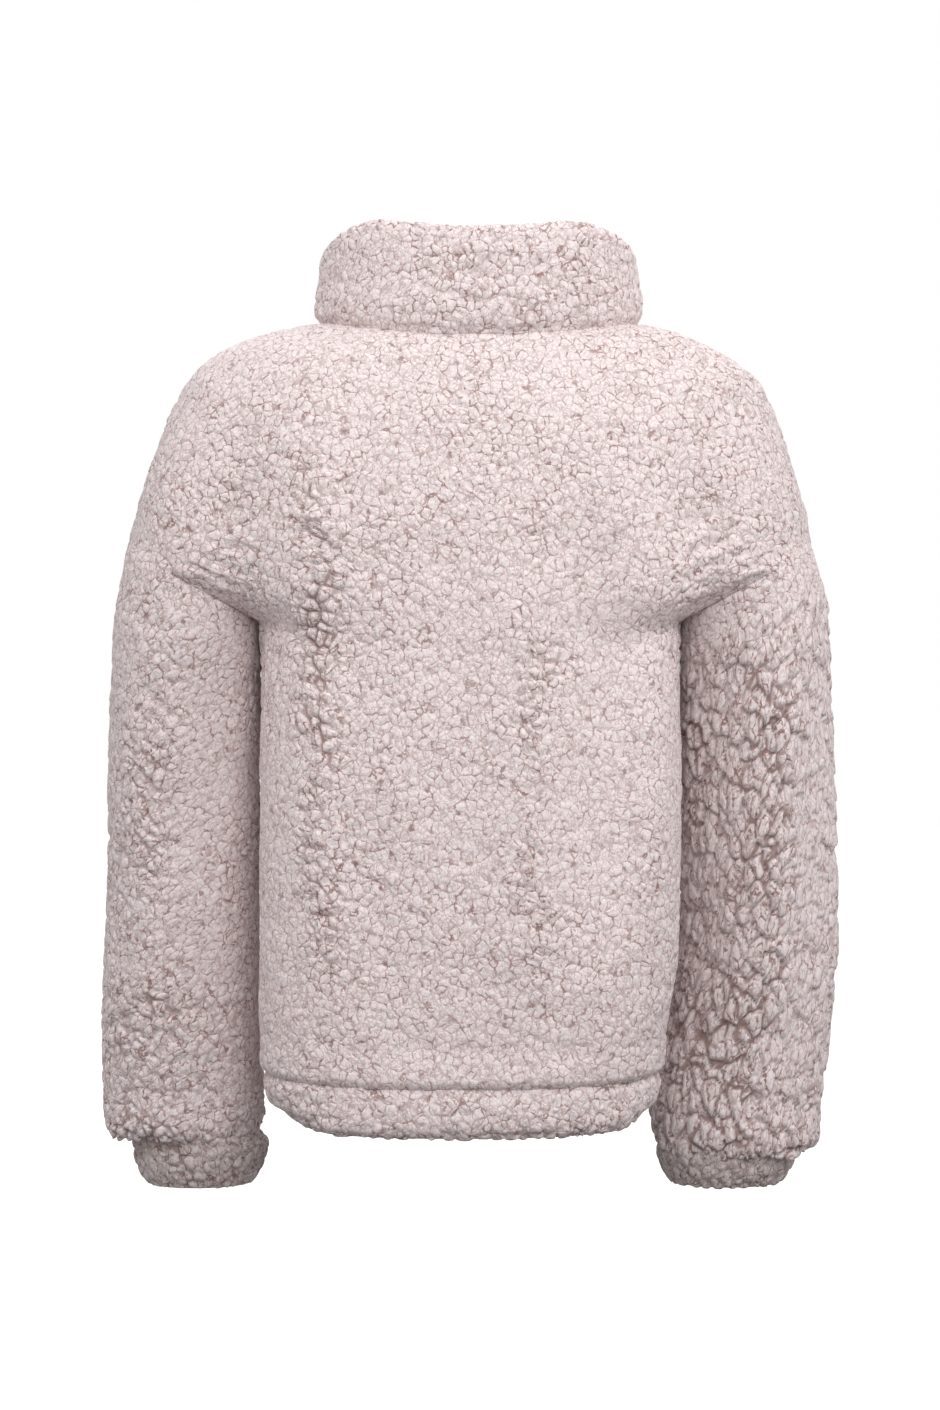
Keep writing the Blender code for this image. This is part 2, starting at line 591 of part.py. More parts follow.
# Wall thickness: full in the middle of a piece, thin at the zip, at open edges and along the seams
walls = {}
for name, piece in pieces.items():
    outer = piece["outer"]
    edges = [outer[0], outer[-1]]
    if name in ("back", "front_left", "front_right"):
        edges.append(outer[:, -1])
    if name == "back":
        edges.append(outer[:, 0])
    walls[name] = wall_near(outer, edges)
for name in ("cuff_left", "cuff_right"):
    walls[name][:] = np.array(CUFF_WALL)[:, None]
walls["collar"][:] = np.array([SEAM_WALL] + [row[2] for row in COLLAR_SHAPE])[:, None]
walls["hem_band"][:] = np.array([SEAM_WALL] + [row[2] for row in HEM_SHAPE])[:, None]
for name in ("front_left", "front_right", "collar", "hem_band"):
    walls[name][:, :2] = EDGE_WALL
for name in ("collar", "hem_band"):
    walls[name][:, -2:] = EDGE_WALL
walls["collar"][:, [2, -3]] = np.minimum(walls["collar"][:, [2, -3]], PILE_WALL)

for name, piece in pieces.items():
    inner = piece["outer"] - piece["normals"] * walls[name][..., None]
    outer, inner = open_seams(piece["outer"], inner, piece["normals"], piece["closed"])
    wall_object(name, outer, inner, piece["closed"], fleece)

# Zip line: the fronts' edges from the collar's top to the hem band's foot, moved to the middle
edges = [pieces[name]["outer"][:, 0] for name in ("collar", "front_left", "hem_band")]
faces_out = [pieces[name]["normals"][:, 0] for name in ("collar", "front_left", "hem_band")]
line = np.concatenate([edges[0][:0:-1], edges[1], edges[2][1:]]) * [0, 1, 1]
outward = unit(np.concatenate([faces_out[0][:0:-1], faces_out[1], faces_out[2][1:]]) * [0, 1, 1])
length = np.concatenate([[0.0], np.cumsum(np.linalg.norm(np.diff(line, axis=0), axis=1))])


def zip_line(at):
    """Points on the zip line and its outward directions at lengths from the collar's top."""
    at = np.atleast_1d(at)
    points = np.stack([np.interp(at, length, line[:, k]) for k in range(3)], axis=1)
    return points, unit(np.stack([np.interp(at, length, outward[:, k]) for k in range(3)], axis=1))


def zip_strip(name, stations, edges, depth, thick, look):
    """A flat strip along the zip line: stations from the top, its two edges and its depth."""
    points, out = zip_line(stations)
    edges = np.array([np.broadcast_to(edge, len(stations)) for edge in edges]).T
    outer = points[:, None] + edges[..., None] * [1, 0, 0] - out[:, None] * depth
    return wall_object(name, outer, outer - out[:, None] * thick, False, look)


TAPE_DEPTH = EDGE_WALL + TAPE_CLEAR
CHAIN_DEPTH = TAPE_DEPTH - ZIP_CLEAR - CHAIN_THICK
slider_at = SLIDER_BELOW_TOP + SLIDER_LENGTH / 2
post_end = SLIDER_BELOW_TOP + SLIDER_POST_LENGTH
stations = np.sort([post_end + STATION_CLEAR, post_end + TAPE_MEETS, *length[1:-1]])
inner_edge = np.where(stations < post_end + TAPE_MEETS, TAPE_EDGE_IN_SLIDER, TAPE_EDGE)
for name, side in (("zip_tape_left", 1), ("zip_tape_right", -1)):
    sides = (side * inner_edge, side * TAPE_WIDTH)
    zip_strip(name, stations, sides, TAPE_DEPTH, TAPE_THICK, tape_cloth)
box_at = length[-2] - BOX_LENGTH
between = length[(length > post_end + STATION_CLEAR) & (length < box_at - STATION_CLEAR)]
chain = np.concatenate([[post_end + ZIP_CLEAR], between, [box_at - ZIP_CLEAR]])
half_chain = CHAIN_WIDTH / 2
zip_strip("zip_chain", chain, (half_chain, -half_chain), CHAIN_DEPTH, CHAIN_THICK, zip_plastic)
half_box = BOX_WIDTH / 2
foot = np.array([box_at, *length[(length > box_at + STATION_CLEAR) & (length <= length[-2])]])
zip_strip("zip_box", foot, (half_box, -half_box), CHAIN_DEPTH, CHAIN_THICK, zip_plastic)

# Slider: a plate in front of the chain and one behind the tapes, a post between, and a bridge
half_width, half_length = SLIDER_WIDTH / 2, SLIDER_LENGTH / 2
slider_point = zip_line(slider_at)[0][0]
slider_up = unit(zip_line(slider_at - half_length)[0][0] - zip_line(slider_at + half_length)[0][0])
slider_out = unit(np.cross(slider_up, [1, 0, 0]))
slider_out = slider_out * np.sign(-slider_out[1])
front_back = -CHAIN_DEPTH + ZIP_CLEAR
front_face = front_back + SLIDER_PLATE
rear_front = -TAPE_DEPTH - TAPE_THICK - ZIP_CLEAR
rear_back = rear_front - SLIDER_PLATE
bar_out = front_face + TAB_STAND_OFF
arch_under = bar_out + TAB_BAR / 2 + ZIP_CLEAR
arch_top = arch_under + BRIDGE_THICK
half_bridge, half_post = BRIDGE_WIDTH / 2, SLIDER_POST / 2
inset = half_bridge - BLOCK_STEP
plate_mid = SLIDER_PLATE / 2
slider_spans = (
    ((-half_width, half_width), (front_back, front_face), (-half_length, half_length)),
    ((-half_width, half_width), (rear_back, rear_front), (-half_length, half_length)),
    (
        (-half_post, half_post),
        (rear_front - plate_mid, front_back + plate_mid),
        (half_length - SLIDER_POST_LENGTH, half_length - BLOCK_STEP),
    ),
    (
        (-half_bridge, half_bridge),
        (front_face - plate_mid, arch_top),
        (BRIDGE_REACH - BRIDGE_FOOT, BRIDGE_REACH),
    ),
    (
        (-half_bridge, half_bridge),
        (front_face - plate_mid, arch_top),
        (-BRIDGE_REACH, BRIDGE_FOOT - BRIDGE_REACH),
    ),
    (
        (-inset, inset),
        (arch_under, arch_top - BLOCK_STEP),
        (-BRIDGE_REACH + BLOCK_STEP, BRIDGE_REACH - BLOCK_STEP),
    ),
)
slider_blocks = [block(*spans, slider_point, slider_out, slider_up) for spans in slider_spans]
joined_blocks("zip_slider", slider_blocks, zip_metal)

# Pull tab: a bar under the bridge, two arms past it and a flat tongue, hanging straight down
down, forward = np.array([0.0, 0.0, -1.0]), np.array([0.0, -1.0, 0.0])
half_tab, half_thick, half_bar = TAB_WIDTH / 2, TAB_THICK / 2, TAB_BAR / 2
arm_outside, arm_ends = half_tab - BLOCK_STEP, (-half_bar / 2, TAB_SLOT_LENGTH + TAB_LAP)
tongue_half = half_thick + BLOCK_STEP
tab_spans = (
    ((-half_tab, half_tab), (-half_bar, half_bar), (-half_bar, half_bar)),
    ((-arm_outside, -TAB_SLOT_HALF), (-half_thick, half_thick), arm_ends),
    ((TAB_SLOT_HALF, arm_outside), (-half_thick, half_thick), arm_ends),
    ((-half_tab, half_tab), (-tongue_half, tongue_half), (TAB_SLOT_LENGTH, TAB_LENGTH)),
)
tab_blocks = [block(*spans, np.zeros(3), forward, down) for spans in tab_spans]
tab = joined_blocks("zip_pull_tab", tab_blocks, zip_metal)
tab.location = slider_point + slider_out * bar_out
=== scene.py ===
"""The teddy-fleece zip jacket, dressed for the render. Front faces -Y, back towards the camera."""

import bpy
import numpy as np
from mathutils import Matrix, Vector


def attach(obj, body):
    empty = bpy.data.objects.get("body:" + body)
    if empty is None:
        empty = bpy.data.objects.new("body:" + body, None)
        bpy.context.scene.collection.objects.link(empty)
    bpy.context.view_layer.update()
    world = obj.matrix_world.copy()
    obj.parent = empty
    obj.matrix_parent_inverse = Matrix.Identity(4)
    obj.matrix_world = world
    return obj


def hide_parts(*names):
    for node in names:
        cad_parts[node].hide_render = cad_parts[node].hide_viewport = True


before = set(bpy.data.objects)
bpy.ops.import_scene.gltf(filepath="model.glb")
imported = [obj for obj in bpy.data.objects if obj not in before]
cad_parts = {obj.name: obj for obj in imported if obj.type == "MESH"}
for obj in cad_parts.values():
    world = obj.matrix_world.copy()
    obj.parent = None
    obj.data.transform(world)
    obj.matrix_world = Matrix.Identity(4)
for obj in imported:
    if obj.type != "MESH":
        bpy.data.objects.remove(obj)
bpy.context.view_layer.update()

# Camera, lights and floor. The jacket is seen square from behind, from a little over two metres,
# level with its middle, in a pale room. A wide soft light stands above the camera, with two high
# at the sides and one in front, so the shoulders are brightest and the cuffs lie in soft shade.
PHOTO_HEIGHT_PX, METRES_PER_PX = 1410, 0.00062
CAMERA_DISTANCE, CAMERA_HEIGHT, SENSOR_HEIGHT = 2.2, -0.2356, 24.0
LAMP_COLOUR = (1.0, 0.99, 0.985)
# Columns: name, place, aim, width, power
LAMPS = (
    ("over_camera", (-0.30, 1.55, 0.48), (0.0, 0.05, -0.22), 1.1, 13.5),
    ("high_left", (1.2, 0.6, 1.0), (0.0, 0.0, -0.05), 1.0, 6.5),
    ("high_right", (-1.2, 0.6, 1.0), (0.0, 0.0, -0.05), 1.0, 7.5),
    ("high_front", (-0.1, -1.3, 0.8), (0.0, 0.0, -0.15), 1.1, 14.0),
)
ROOM_COLOUR, ROOM_STRENGTH = (1.0, 0.99, 0.99, 1.0), 0.62
FLOOR_HALF, FLOOR_Z, FLOOR_COLOUR, FLOOR_GLOW = 9, -0.62, (0.22, 0.215, 0.215, 1.0), 0.97
WHITE = (1.0, 1.0, 1.0, 1.0)


def into_scene(name, data):
    """A new object with the data given, linked to the scene."""
    made = bpy.data.objects.new(name, data)
    bpy.context.scene.collection.objects.link(made)
    return made


def add(nodes, kind, **values):
    """A new shader node, its sockets and settings given by name, with _ for a socket name's space."""
    made = nodes.new(kind)
    for key, value in values.items():
        socket = key.replace("_", " ")
        if socket in made.inputs:
            made.inputs[socket].default_value = value
        else:
            setattr(made, key, value)
    return made


def new_material(name, **values):
    """A new material with its nodes, its links and its shader, whose sockets are given by name."""
    made = bpy.data.materials.new(name)
    made.use_nodes = True
    shader = made.node_tree.nodes["Principled BSDF"]
    for key, value in values.items():
        shader.inputs[key.replace("_", " ")].default_value = value
    return made, made.node_tree.nodes, made.node_tree.links, shader


camera = into_scene("camera", bpy.data.cameras.new("camera"))
camera.location = (0.0, CAMERA_DISTANCE, CAMERA_HEIGHT)
camera.rotation_euler = (np.pi / 2, 0.0, np.pi)
camera.data.sensor_fit = "VERTICAL"
camera.data.sensor_height = SENSOR_HEIGHT
camera.data.lens = SENSOR_HEIGHT * CAMERA_DISTANCE / (PHOTO_HEIGHT_PX * METRES_PER_PX)
bpy.context.scene.camera = camera
for name, place, aim, size, power in LAMPS:
    lamp = into_scene(name, bpy.data.lights.new(name, "AREA"))
    lamp.data.size = size
    lamp.data.energy = power
    lamp.data.color = LAMP_COLOUR
    lamp.location = place
    lamp.rotation_euler = (Vector(aim) - Vector(place)).to_track_quat("-Z", "Y").to_euler()

# The room: white where it is looked at, and a dimmer soft light from all round on the jacket
room = bpy.data.worlds.new("pale_room")
room.use_nodes = True
nodes, links = room.node_tree.nodes, room.node_tree.links
nodes["Background"].inputs["Color"].default_value = ROOM_COLOUR
nodes["Background"].inputs["Strength"].default_value = ROOM_STRENGTH
room_mix = add(nodes, "ShaderNodeMixShader")
links.new(add(nodes, "ShaderNodeLightPath").outputs["Is Camera Ray"], room_mix.inputs["Fac"])
links.new(nodes["Background"].outputs[0], room_mix.inputs[1])
links.new(add(nodes, "ShaderNodeBackground", Color=WHITE).outputs[0], room_mix.inputs[2])
links.new(room_mix.outputs[0], nodes["World Output"].inputs["Surface"])
bpy.context.scene.world = room
bpy.context.scene.view_settings.view_transform = "Standard"

floor_mesh = bpy.data.meshes.new("floor")
corners = [(x * FLOOR_HALF, y * FLOOR_HALF, FLOOR_Z) for x, y in ((-1, -1), (1, -1), (1, 1), (-1, 1))]
floor_mesh.from_pydata(corners, [], [(0, 1, 2, 3)])
floor_paint, nodes, links, paint = new_material(
    "floor_paint", Base_Color=FLOOR_COLOUR, Roughness=0.95, Emission_Color=WHITE
)
glow = add(nodes, "ShaderNodeMath", operation="MULTIPLY")
glow.inputs[1].default_value = FLOOR_GLOW
links.new(add(nodes, "ShaderNodeLightPath").outputs["Is Camera Ray"], glow.inputs[0])
links.new(glow.outputs[0], paint.inputs["Emission Strength"])
floor_mesh.materials.append(floor_paint)
into_scene("floor", floor_mesh)

# Back and fronts: the back in one piece and two fronts, knitted fleece cut with dropped shoulders
# and sewn along the shoulders and sides with the pile outwards. A shape here is a smooth surface
# through a coarse net of points, and the pile is worked into it as clumps parted by cracks.
PILE_WALL, SEAM_WALL, EDGE_WALL, WALL_GROWTH = 0.008, 0.004, 0.0035, 0.45
ZIP_GAP_HALF, ZIP_FLAT_SHARE, ZIP_RISE_SHARE = 0.0055, 0.036, 0.100
TURN_POINTS = 160
RING_TOP_X, RING_TOP_Z, UNDERARM_X, UNDERARM_Z, RING_HALF_DEPTH = 0.2125, -0.139, 0.127, -0.186, 0.060
RING_MIDDLE_X, RING_MIDDLE_Z = (RING_TOP_X + UNDERARM_X) / 2, (RING_TOP_Z + UNDERARM_Z) / 2
RING_HALF_WIDTH = (RING_TOP_X - UNDERARM_X) / 2
RING_TILT = (RING_TOP_Z - UNDERARM_Z) / (RING_TOP_X - UNDERARM_X)
UNDERARM_HALF, UNDERARM_FADE, UNDERARM_DOWN = 0.45, 0.40, 0.8
SHOULDER_ROWS, RING_ROWS, SIDE_ROWS, HALF_COLUMNS = 9, 12, 9, 11
# Levels from the neck down to the armhole's top, then from the underarm to the hem band's seam.
# Columns: left_x, right_x, edge_z, back_y, back_z, front_y, front_z, square, lean
SHOULDER_LEVELS = (
    (0.0930, 0.1040, 0.0005, 0.0640, -0.0120, -0.0780, -0.0480, 2.10, 0.00),
    (0.1376, 0.1389, -0.0093, 0.0715, -0.0260, -0.0840, -0.0590, 2.15, 0.00),
    (0.1655, 0.1668, -0.0248, 0.0775, -0.0410, -0.0885, -0.0710, 2.20, 0.00),
    (0.1786, 0.1829, -0.0403, 0.0825, -0.0555, -0.0925, -0.0840, 2.25, 0.00),
    (0.1870, 0.1895, -0.0558, 0.0860, -0.0685, -0.0955, -0.0960, 2.30, 0.00),
    (0.1925, 0.1950, -0.0713, 0.0885, -0.0805, -0.0980, -0.1070, 2.35, 0.00),
    (0.1980, 0.2000, -0.0868, 0.0905, -0.0915, -0.1000, -0.1170, 2.40, 0.00),
    (0.2030, 0.2046, -0.1023, 0.0922, -0.1020, -0.1020, -0.1260, 2.40, 0.00),
    (0.2077, 0.2090, -0.1180, 0.0936, -0.1120, -0.1035, -0.1350, 2.40, 0.01),
    (RING_TOP_X, RING_TOP_X, RING_TOP_Z, 0.0950, -0.1240, -0.1050, -0.1460, 2.40, 0.03),
)
SIDE_LEVELS = (
    (UNDERARM_X, UNDERARM_X, UNDERARM_Z, 0.0985, -0.2150, -0.1090, -0.2220, 2.60, 0.10),
    (0.1242, 0.1250, -0.2260, 0.1000, -0.2460, -0.1105, -0.2520, 2.80, 0.13),
    (0.1240, 0.1250, -0.2650, 0.1010, -0.2800, -0.1115, -0.2840, 2.90, 0.14),
    (0.1240, 0.1245, -0.3040, 0.1018, -0.3150, -0.1120, -0.3170, 3.00, 0.14),
    (0.1238, 0.1240, -0.3420, 0.1022, -0.3500, -0.1122, -0.3510, 3.00, 0.14),
    (0.1240, 0.1230, -0.3770, 0.1022, -0.3830, -0.1120, -0.3840, 3.00, 0.14),
    (0.1250, 0.1200, -0.4100, 0.1018, -0.4150, -0.1112, -0.4150, 2.90, 0.14),
    (0.1250, 0.1165, -0.4360, 0.1010, -0.4410, -0.1100, -0.4400, 2.80, 0.13),
    (0.1230, 0.1130, -0.4590, 0.0990, -0.4640, -0.1080, -0.4630, 2.70, 0.12),
)
# Soft folds of the hanging cloth. Columns: top_x, top_z, bottom_x, bottom_z, half_width, height
BACK_FOLDS = (
    (0.096, -0.075, 0.094, -0.350, 0.015, 0.0055),
    (-0.028, -0.150, -0.030, -0.400, 0.014, 0.0052),
    (-0.072, -0.120, -0.084, -0.345, 0.019, -0.0070),
    (-0.124, -0.140, -0.106, -0.360, 0.016, 0.0060),
    (0.060, -0.300, 0.040, -0.440, 0.018, -0.0025),
    (-0.075, -0.395, -0.095, -0.450, 0.015, 0.0030),
)
FRONT_FOLDS = (
    (0.085, -0.120, 0.075, -0.360, 0.019, -0.0055),
    (-0.078, -0.130, -0.088, -0.370, 0.019, -0.0050),
    (0.104, -0.160, 0.100, -0.400, 0.014, 0.0040),
    (-0.104, -0.150, -0.098, -0.380, 0.014, 0.0040),
    (0.048, -0.280, 0.052, -0.440, 0.015, 0.0030),
    (-0.052, -0.260, -0.048, -0.430, 0.015, 0.0030),
)
FOLD_FADE, FOLD_FROM_Y, FOLD_FULL_Y = 0.4, 0.015, 0.055
# The valley between the body and the upper arm. Columns: z, share of the depth
ARM_VALLEY_X, ARM_VALLEY_WIDTH = 0.141, 0.024
ARM_VALLEY_LEVELS = ((-0.240, 0.0), (-0.200, 0.05), (-0.160, 0.13), (-0.115, 0.12), (-0.050, 0.0))


def between(first, second, leaving, coming, t):
    """The cubic from the first value to the second, for its slopes there, read at the share t."""
    return (
        (2 * t**3 - 3 * t**2 + 1) * first
        + (t**3 - 2 * t**2 + t) * leaving
        + (3 * t**2 - 2 * t**3) * second
        + (t**3 - t**2) * coming
    )


def cubic(table, places, at):
    """Smooth curve through a table's rows at their places: cubics with the mean of nearby slopes."""
    rows, places, at = np.asarray(table, float), np.asarray(places, float), np.asarray(at, float)
    slopes = np.gradient(rows, places, axis=0)
    span = np.clip(np.searchsorted(places, at, side="right") - 1, 0, len(places) - 2)
    length = (places[span + 1] - places[span])[:, None]
    t = (at - places[span])[:, None] / length
    leaving, coming = length * slopes[span], length * slopes[span + 1]
    return between(rows[span], rows[span + 1], leaving, coming, t)


def smooth_step(share):
    """0 before 0, 1 after 1, and an S curve between: 3 s squared less 2 s cubed."""
    share = np.clip(share, 0.0, 1.0)
    return share * share * (3 - 2 * share)


def unit(vectors):
    """Vectors divided by their lengths."""
    return vectors / np.maximum(np.linalg.norm(vectors, axis=-1, keepdims=True), 1e-12)


def along(points, axis):
    """Length gone along each line of a grid: running sums of the steps between its points."""
    steps = np.linalg.norm(np.diff(points, axis=axis), axis=-1)
    start = np.zeros_like(np.take(steps, [0], axis=axis))
    return np.concatenate([start, np.cumsum(steps, axis=axis)], axis=axis)


def body_levels():
    """The levels at every row, down the shoulder seam, half round the armhole and down the side.

    Also gives the angle round the armhole: 0 on the shoulder seam and pi on the side seam.
    """
    shoulder, side = np.array(SHOULDER_LEVELS), np.array(SIDE_LEVELS)
    steps = np.hypot(np.diff(shoulder[:, 0]), np.diff(shoulder[:, 2]))
    drop = np.concatenate([[0.0], np.cumsum(steps)])
    upper = cubic(shoulder, drop, np.linspace(0, drop[-1], SHOULDER_ROWS + 1))
    lower = cubic(side, -side[:, 2], -np.linspace(side[0, 2], side[-1, 2], SIDE_ROWS + 1))
    share = np.linspace(0, 1, RING_ROWS + 1)
    ring = shoulder[-1] + (side[0] - shoulder[-1]) * share[:, None]
    levels = np.concatenate([upper[:-1], ring, lower[1:]])
    angle = np.concatenate([np.zeros(SHOULDER_ROWS), share * np.pi, np.full(SIDE_ROWS, np.pi)])
    return levels, angle


def fold_lift(folds, across, z):
    """Height of the folds: each is a bell curve across its line, fading out at both ends."""
    lift = np.zeros_like(across)
    for top, top_z, bottom, bottom_z, half_width, height in folds:
        share = (top_z - z) / (top_z - bottom_z)
        away = across - top - (bottom - top) * share
        fade = smooth_step(share / FOLD_FADE + 0.5) * smooth_step((1 - share) / FOLD_FADE + 0.5)
        lift += height * np.exp(-((away / half_width) ** 2)) * fade
    return lift


def half_panel(side, face, shares):
    """Half the back, or one front: each row is part of a superellipse from the middle to the seam.

    Depth is the cosine and width the sine of the turn, both to the power 2 / square; the height
    goes from the middle's to the seam's in an S curve; on armhole rows the turn ends on the ring.
    """
    levels, ring_angle = body_levels()
    left_x, right_x, edge_z, back_y, back_z, front_y, front_z, square, lean = levels.T
    if face == "back":
        middle_x, middle_y, middle_z = (left_x - right_x) / 2, back_y, back_z
    else:
        middle_x, middle_y, middle_z = np.full_like(left_x, side * ZIP_GAP_HALF), front_y, front_z
        lean = -lean
    on_ring = (ring_angle > 0) & (ring_angle < np.pi)
    ring_x = RING_MIDDLE_X + RING_HALF_WIDTH * np.cos(ring_angle)
    ring_y = np.where(on_ring, RING_HALF_DEPTH * np.sin(ring_angle), 0.0)
    ring_z = RING_MIDDLE_Z + RING_HALF_WIDTH * RING_TILT * np.cos(ring_angle)
    end_x = np.where(on_ring, ring_x, left_x if side > 0 else right_x) - side * middle_x
    end_z = np.where(on_ring, ring_z, edge_z)
    end_share = ring_y / np.abs(middle_y)
    end_turn = np.arccos(end_share ** (square / 2))
    width = end_x / (np.sin(end_turn) ** (2 / square) * (1 + lean * end_share))
    turn = end_turn[:, None] * np.linspace(0, 1, TURN_POINTS)
    power = 2 / square[:, None]
    depth = np.clip(np.cos(turn), 0, 1) ** power
    x = side * width[:, None] * np.sin(turn) ** power * (1 + lean[:, None] * depth)
    x += middle_x[:, None]
    z = middle_z[:, None] + (end_z - middle_z)[:, None] * smooth_step(turn / end_turn[:, None])
    curve = np.stack([x, middle_y[:, None] * depth, z], axis=2)
    gone = along(curve, 1)
    grid = np.array(
        [
            np.stack([np.interp(shares * row[-1], row, line[:, k]) for k in range(3)], axis=1)
            for row, line in zip(gone, curve)
        ]
    )
    depth, amount = np.array(ARM_VALLEY_LEVELS).T
    valley = np.interp(grid[..., 2], depth, amount)
    valley *= np.exp(-(((np.abs(grid[..., 0]) - ARM_VALLEY_X) / ARM_VALLEY_WIDTH) ** 2))
    grid[..., 1] *= 1 - valley
    folds = BACK_FOLDS if face == "back" else FRONT_FOLDS
    facing = smooth_step((np.abs(grid[..., 1]) - FOLD_FROM_Y) / (FOLD_FULL_Y - FOLD_FROM_Y))
    grid[..., 1] += np.sign(middle_y[0]) * fold_lift(folds, grid[..., 0], grid[..., 2]) * facing
    return grid


def outward_of(grid, closed_columns=False):
    """Square to both directions of a grid: the cross product of its two slopes."""
    wrapped = np.pad(grid, ((0, 0), (1, 1) if closed_columns else (0, 0), (0, 0)), mode="wrap")
    out = unit(np.cross(np.gradient(wrapped, axis=1), np.gradient(wrapped, axis=0)))
    return out[:, 1:-1] if closed_columns else out


def away_from(out, grid, inside):
    """The same directions, all turned over if most of them point to the inside."""
    return out * np.sign((out * (grid - inside)).sum())


def level_out(line):
    """Level directions square to a line that goes round the body."""
    out = unit(np.cross(np.gradient(line, axis=0), [0, 0, 1]))
    return out * np.sign((out * line * [1, 1, 0]).sum())


def ring_out(angle, side):
    """Outward round the armhole: the ellipse's own direction, turned down near the underarm."""
    tilt = unit(np.array([side, 0.0, RING_TILT]))
    slant = RING_HALF_WIDTH * np.hypot(1, RING_TILT)
    out = np.outer(np.cos(angle) / slant, tilt)
    out[:, 1] += np.sin(angle) / RING_HALF_DEPTH
    under = smooth_step((UNDERARM_HALF - np.abs(angle / np.pi - 1)) / UNDERARM_FADE)[:, None]
    return unit(unit(out) * (1 - UNDERARM_DOWN * under) - under * [0, 0, UNDERARM_DOWN])


def marks(grid, spacing, axis, closed=False):
    """Places of fine rows between coarse ones, counted in coarse rows, a spacing apart."""
    line = np.concatenate([grid, np.take(grid, [0], axis=axis)], axis=axis) if closed else grid
    steps = np.linalg.norm(np.diff(line, axis=axis), axis=-1)
    count = np.ceil(np.quantile(steps, 0.7, axis=1 - axis) / spacing).astype(int)
    at = np.concatenate([row + np.arange(n) / n for row, n in enumerate(count)])
    return at if closed else np.append(at, len(count))


def through(values, at, closed=False, corners=(), sharp=0.0):
    """Smooth curves through rows of values, read at marks: cubics with mean slopes at the rows.

    At the corner rows the slopes of the two sides part, by the share given as sharp.
    """
    rows = len(values)
    if closed:
        values = np.concatenate([values[-2:], values, values[:3]])
        at = at + 2
        corners = [row + 2 for row in corners]
    before, after = np.gradient(values, axis=0), np.gradient(values, axis=0)
    for row in corners:
        before[row] += (values[row] - values[row - 1] - before[row]) * sharp
        after[row] += (values[row + 1] - values[row] - after[row]) * sharp
    span = np.clip(at.astype(int), 0, len(values) - 2)
    t = (at - span).reshape(-1, *[1] * (values.ndim - 1))
    return between(values[span], values[span + 1], after[span], before[span + 1], t)


def scattered(cells, seed):
    """Three even random numbers from 0 to 1 for whole-numbered cells, by mixing their numbers."""
    x, y, z = (cells[..., k].astype(np.int64).astype(np.uint32) for k in range(3))
    mixed = x * np.uint32(374761393) + y * np.uint32(668265263) + z * np.uint32(2246822519)
    mixed = mixed + np.uint32(seed * 97 + 13)
    mixed = (mixed ^ (mixed >> np.uint32(15))) * np.uint32(2654435761)
    mixed = (mixed ^ (mixed >> np.uint32(13))) * np.uint32(3266489917)
    mixed = mixed ^ (mixed >> np.uint32(16))
    ten_bits = [(mixed >> np.uint32(shift)) & np.uint32(1023) for shift in (0, 10, 20)]
    return np.stack(ten_bits, axis=-1) / 1023


def drift(points, size, seed):
    """Three soft random fields from 0 to 1, whose swells are about the given size across."""
    places = points / size
    cells = np.floor(places)
    t = smooth_step(places - cells)
    total = np.zeros_like(points)
    for corner in np.ndindex(2, 2, 2):
        weight = np.prod(np.where(corner, t, 1 - t), axis=-1, keepdims=True)
        total += weight * scattered(cells + corner, seed)
    return total


def clumps(points, size, seed):
    """Clumps round scattered seeds: how close the nearest seed is, how much further the next is.

    Both come in clump sizes, the second as the distance to the crack between the two, with the
    way up from the seed last.
    """
    places = points / size
    cells = np.floor(places)
    nearest, second = np.full(points.shape[:-1], 9.0), np.full(points.shape[:-1], 9.0)
    near_at, second_at = np.zeros_like(points), np.zeros_like(points)
    for offset in np.ndindex(3, 3, 3):
        cell = cells + offset - 1
        seed_at = cell + scattered(cell, seed)
        gap = ((places - seed_at) ** 2).sum(axis=-1)
        closer = gap < nearest
        next_one = ~closer & (gap < second)
        second = np.where(closer, nearest, np.where(next_one, gap, second))
        second_at = np.where(next_one[..., None], seed_at, second_at)
        second_at = np.where(closer[..., None], near_at, second_at)
        nearest = np.where(closer, gap, nearest)
        near_at = np.where(closer[..., None], seed_at, near_at)
    apart = np.linalg.norm(second_at - near_at, axis=-1)
    crack = (second - nearest) / np.maximum(2 * apart, 1e-6)
    return np.sqrt(nearest), crack, (places - near_at)[..., 2]


# The pile: sizes of its swells, how far the clumps' edges wander, how open it lies, its relief
SWELL_SIZE, FINE_SWELL_SIZE, LUMP_SIZE = 0.055, 0.018, 0.013
WANDER_SIZE, WANDER_SHARE = 0.9, 0.65
OPEN_PLAIN, OPEN_SWELL, OPEN_FINE, OPEN_MOST, OPEN_CRACKS = 0.10, 0.55, 0.5, 1.4, 0.45
CRACK_WIDTH, CRACK_CORE, CORE_GAIN = 0.18, 0.13, 1.5
LUMP_HEIGHT, PILE_SINK, LOCK_LEAN = 0.0012, 0.0004, 0.0017
DOME_PLAIN, DOME_OPEN, CRACK_PLAIN, CRACK_OPEN = 0.0003, 0.0009, 0.0005, 0.0036


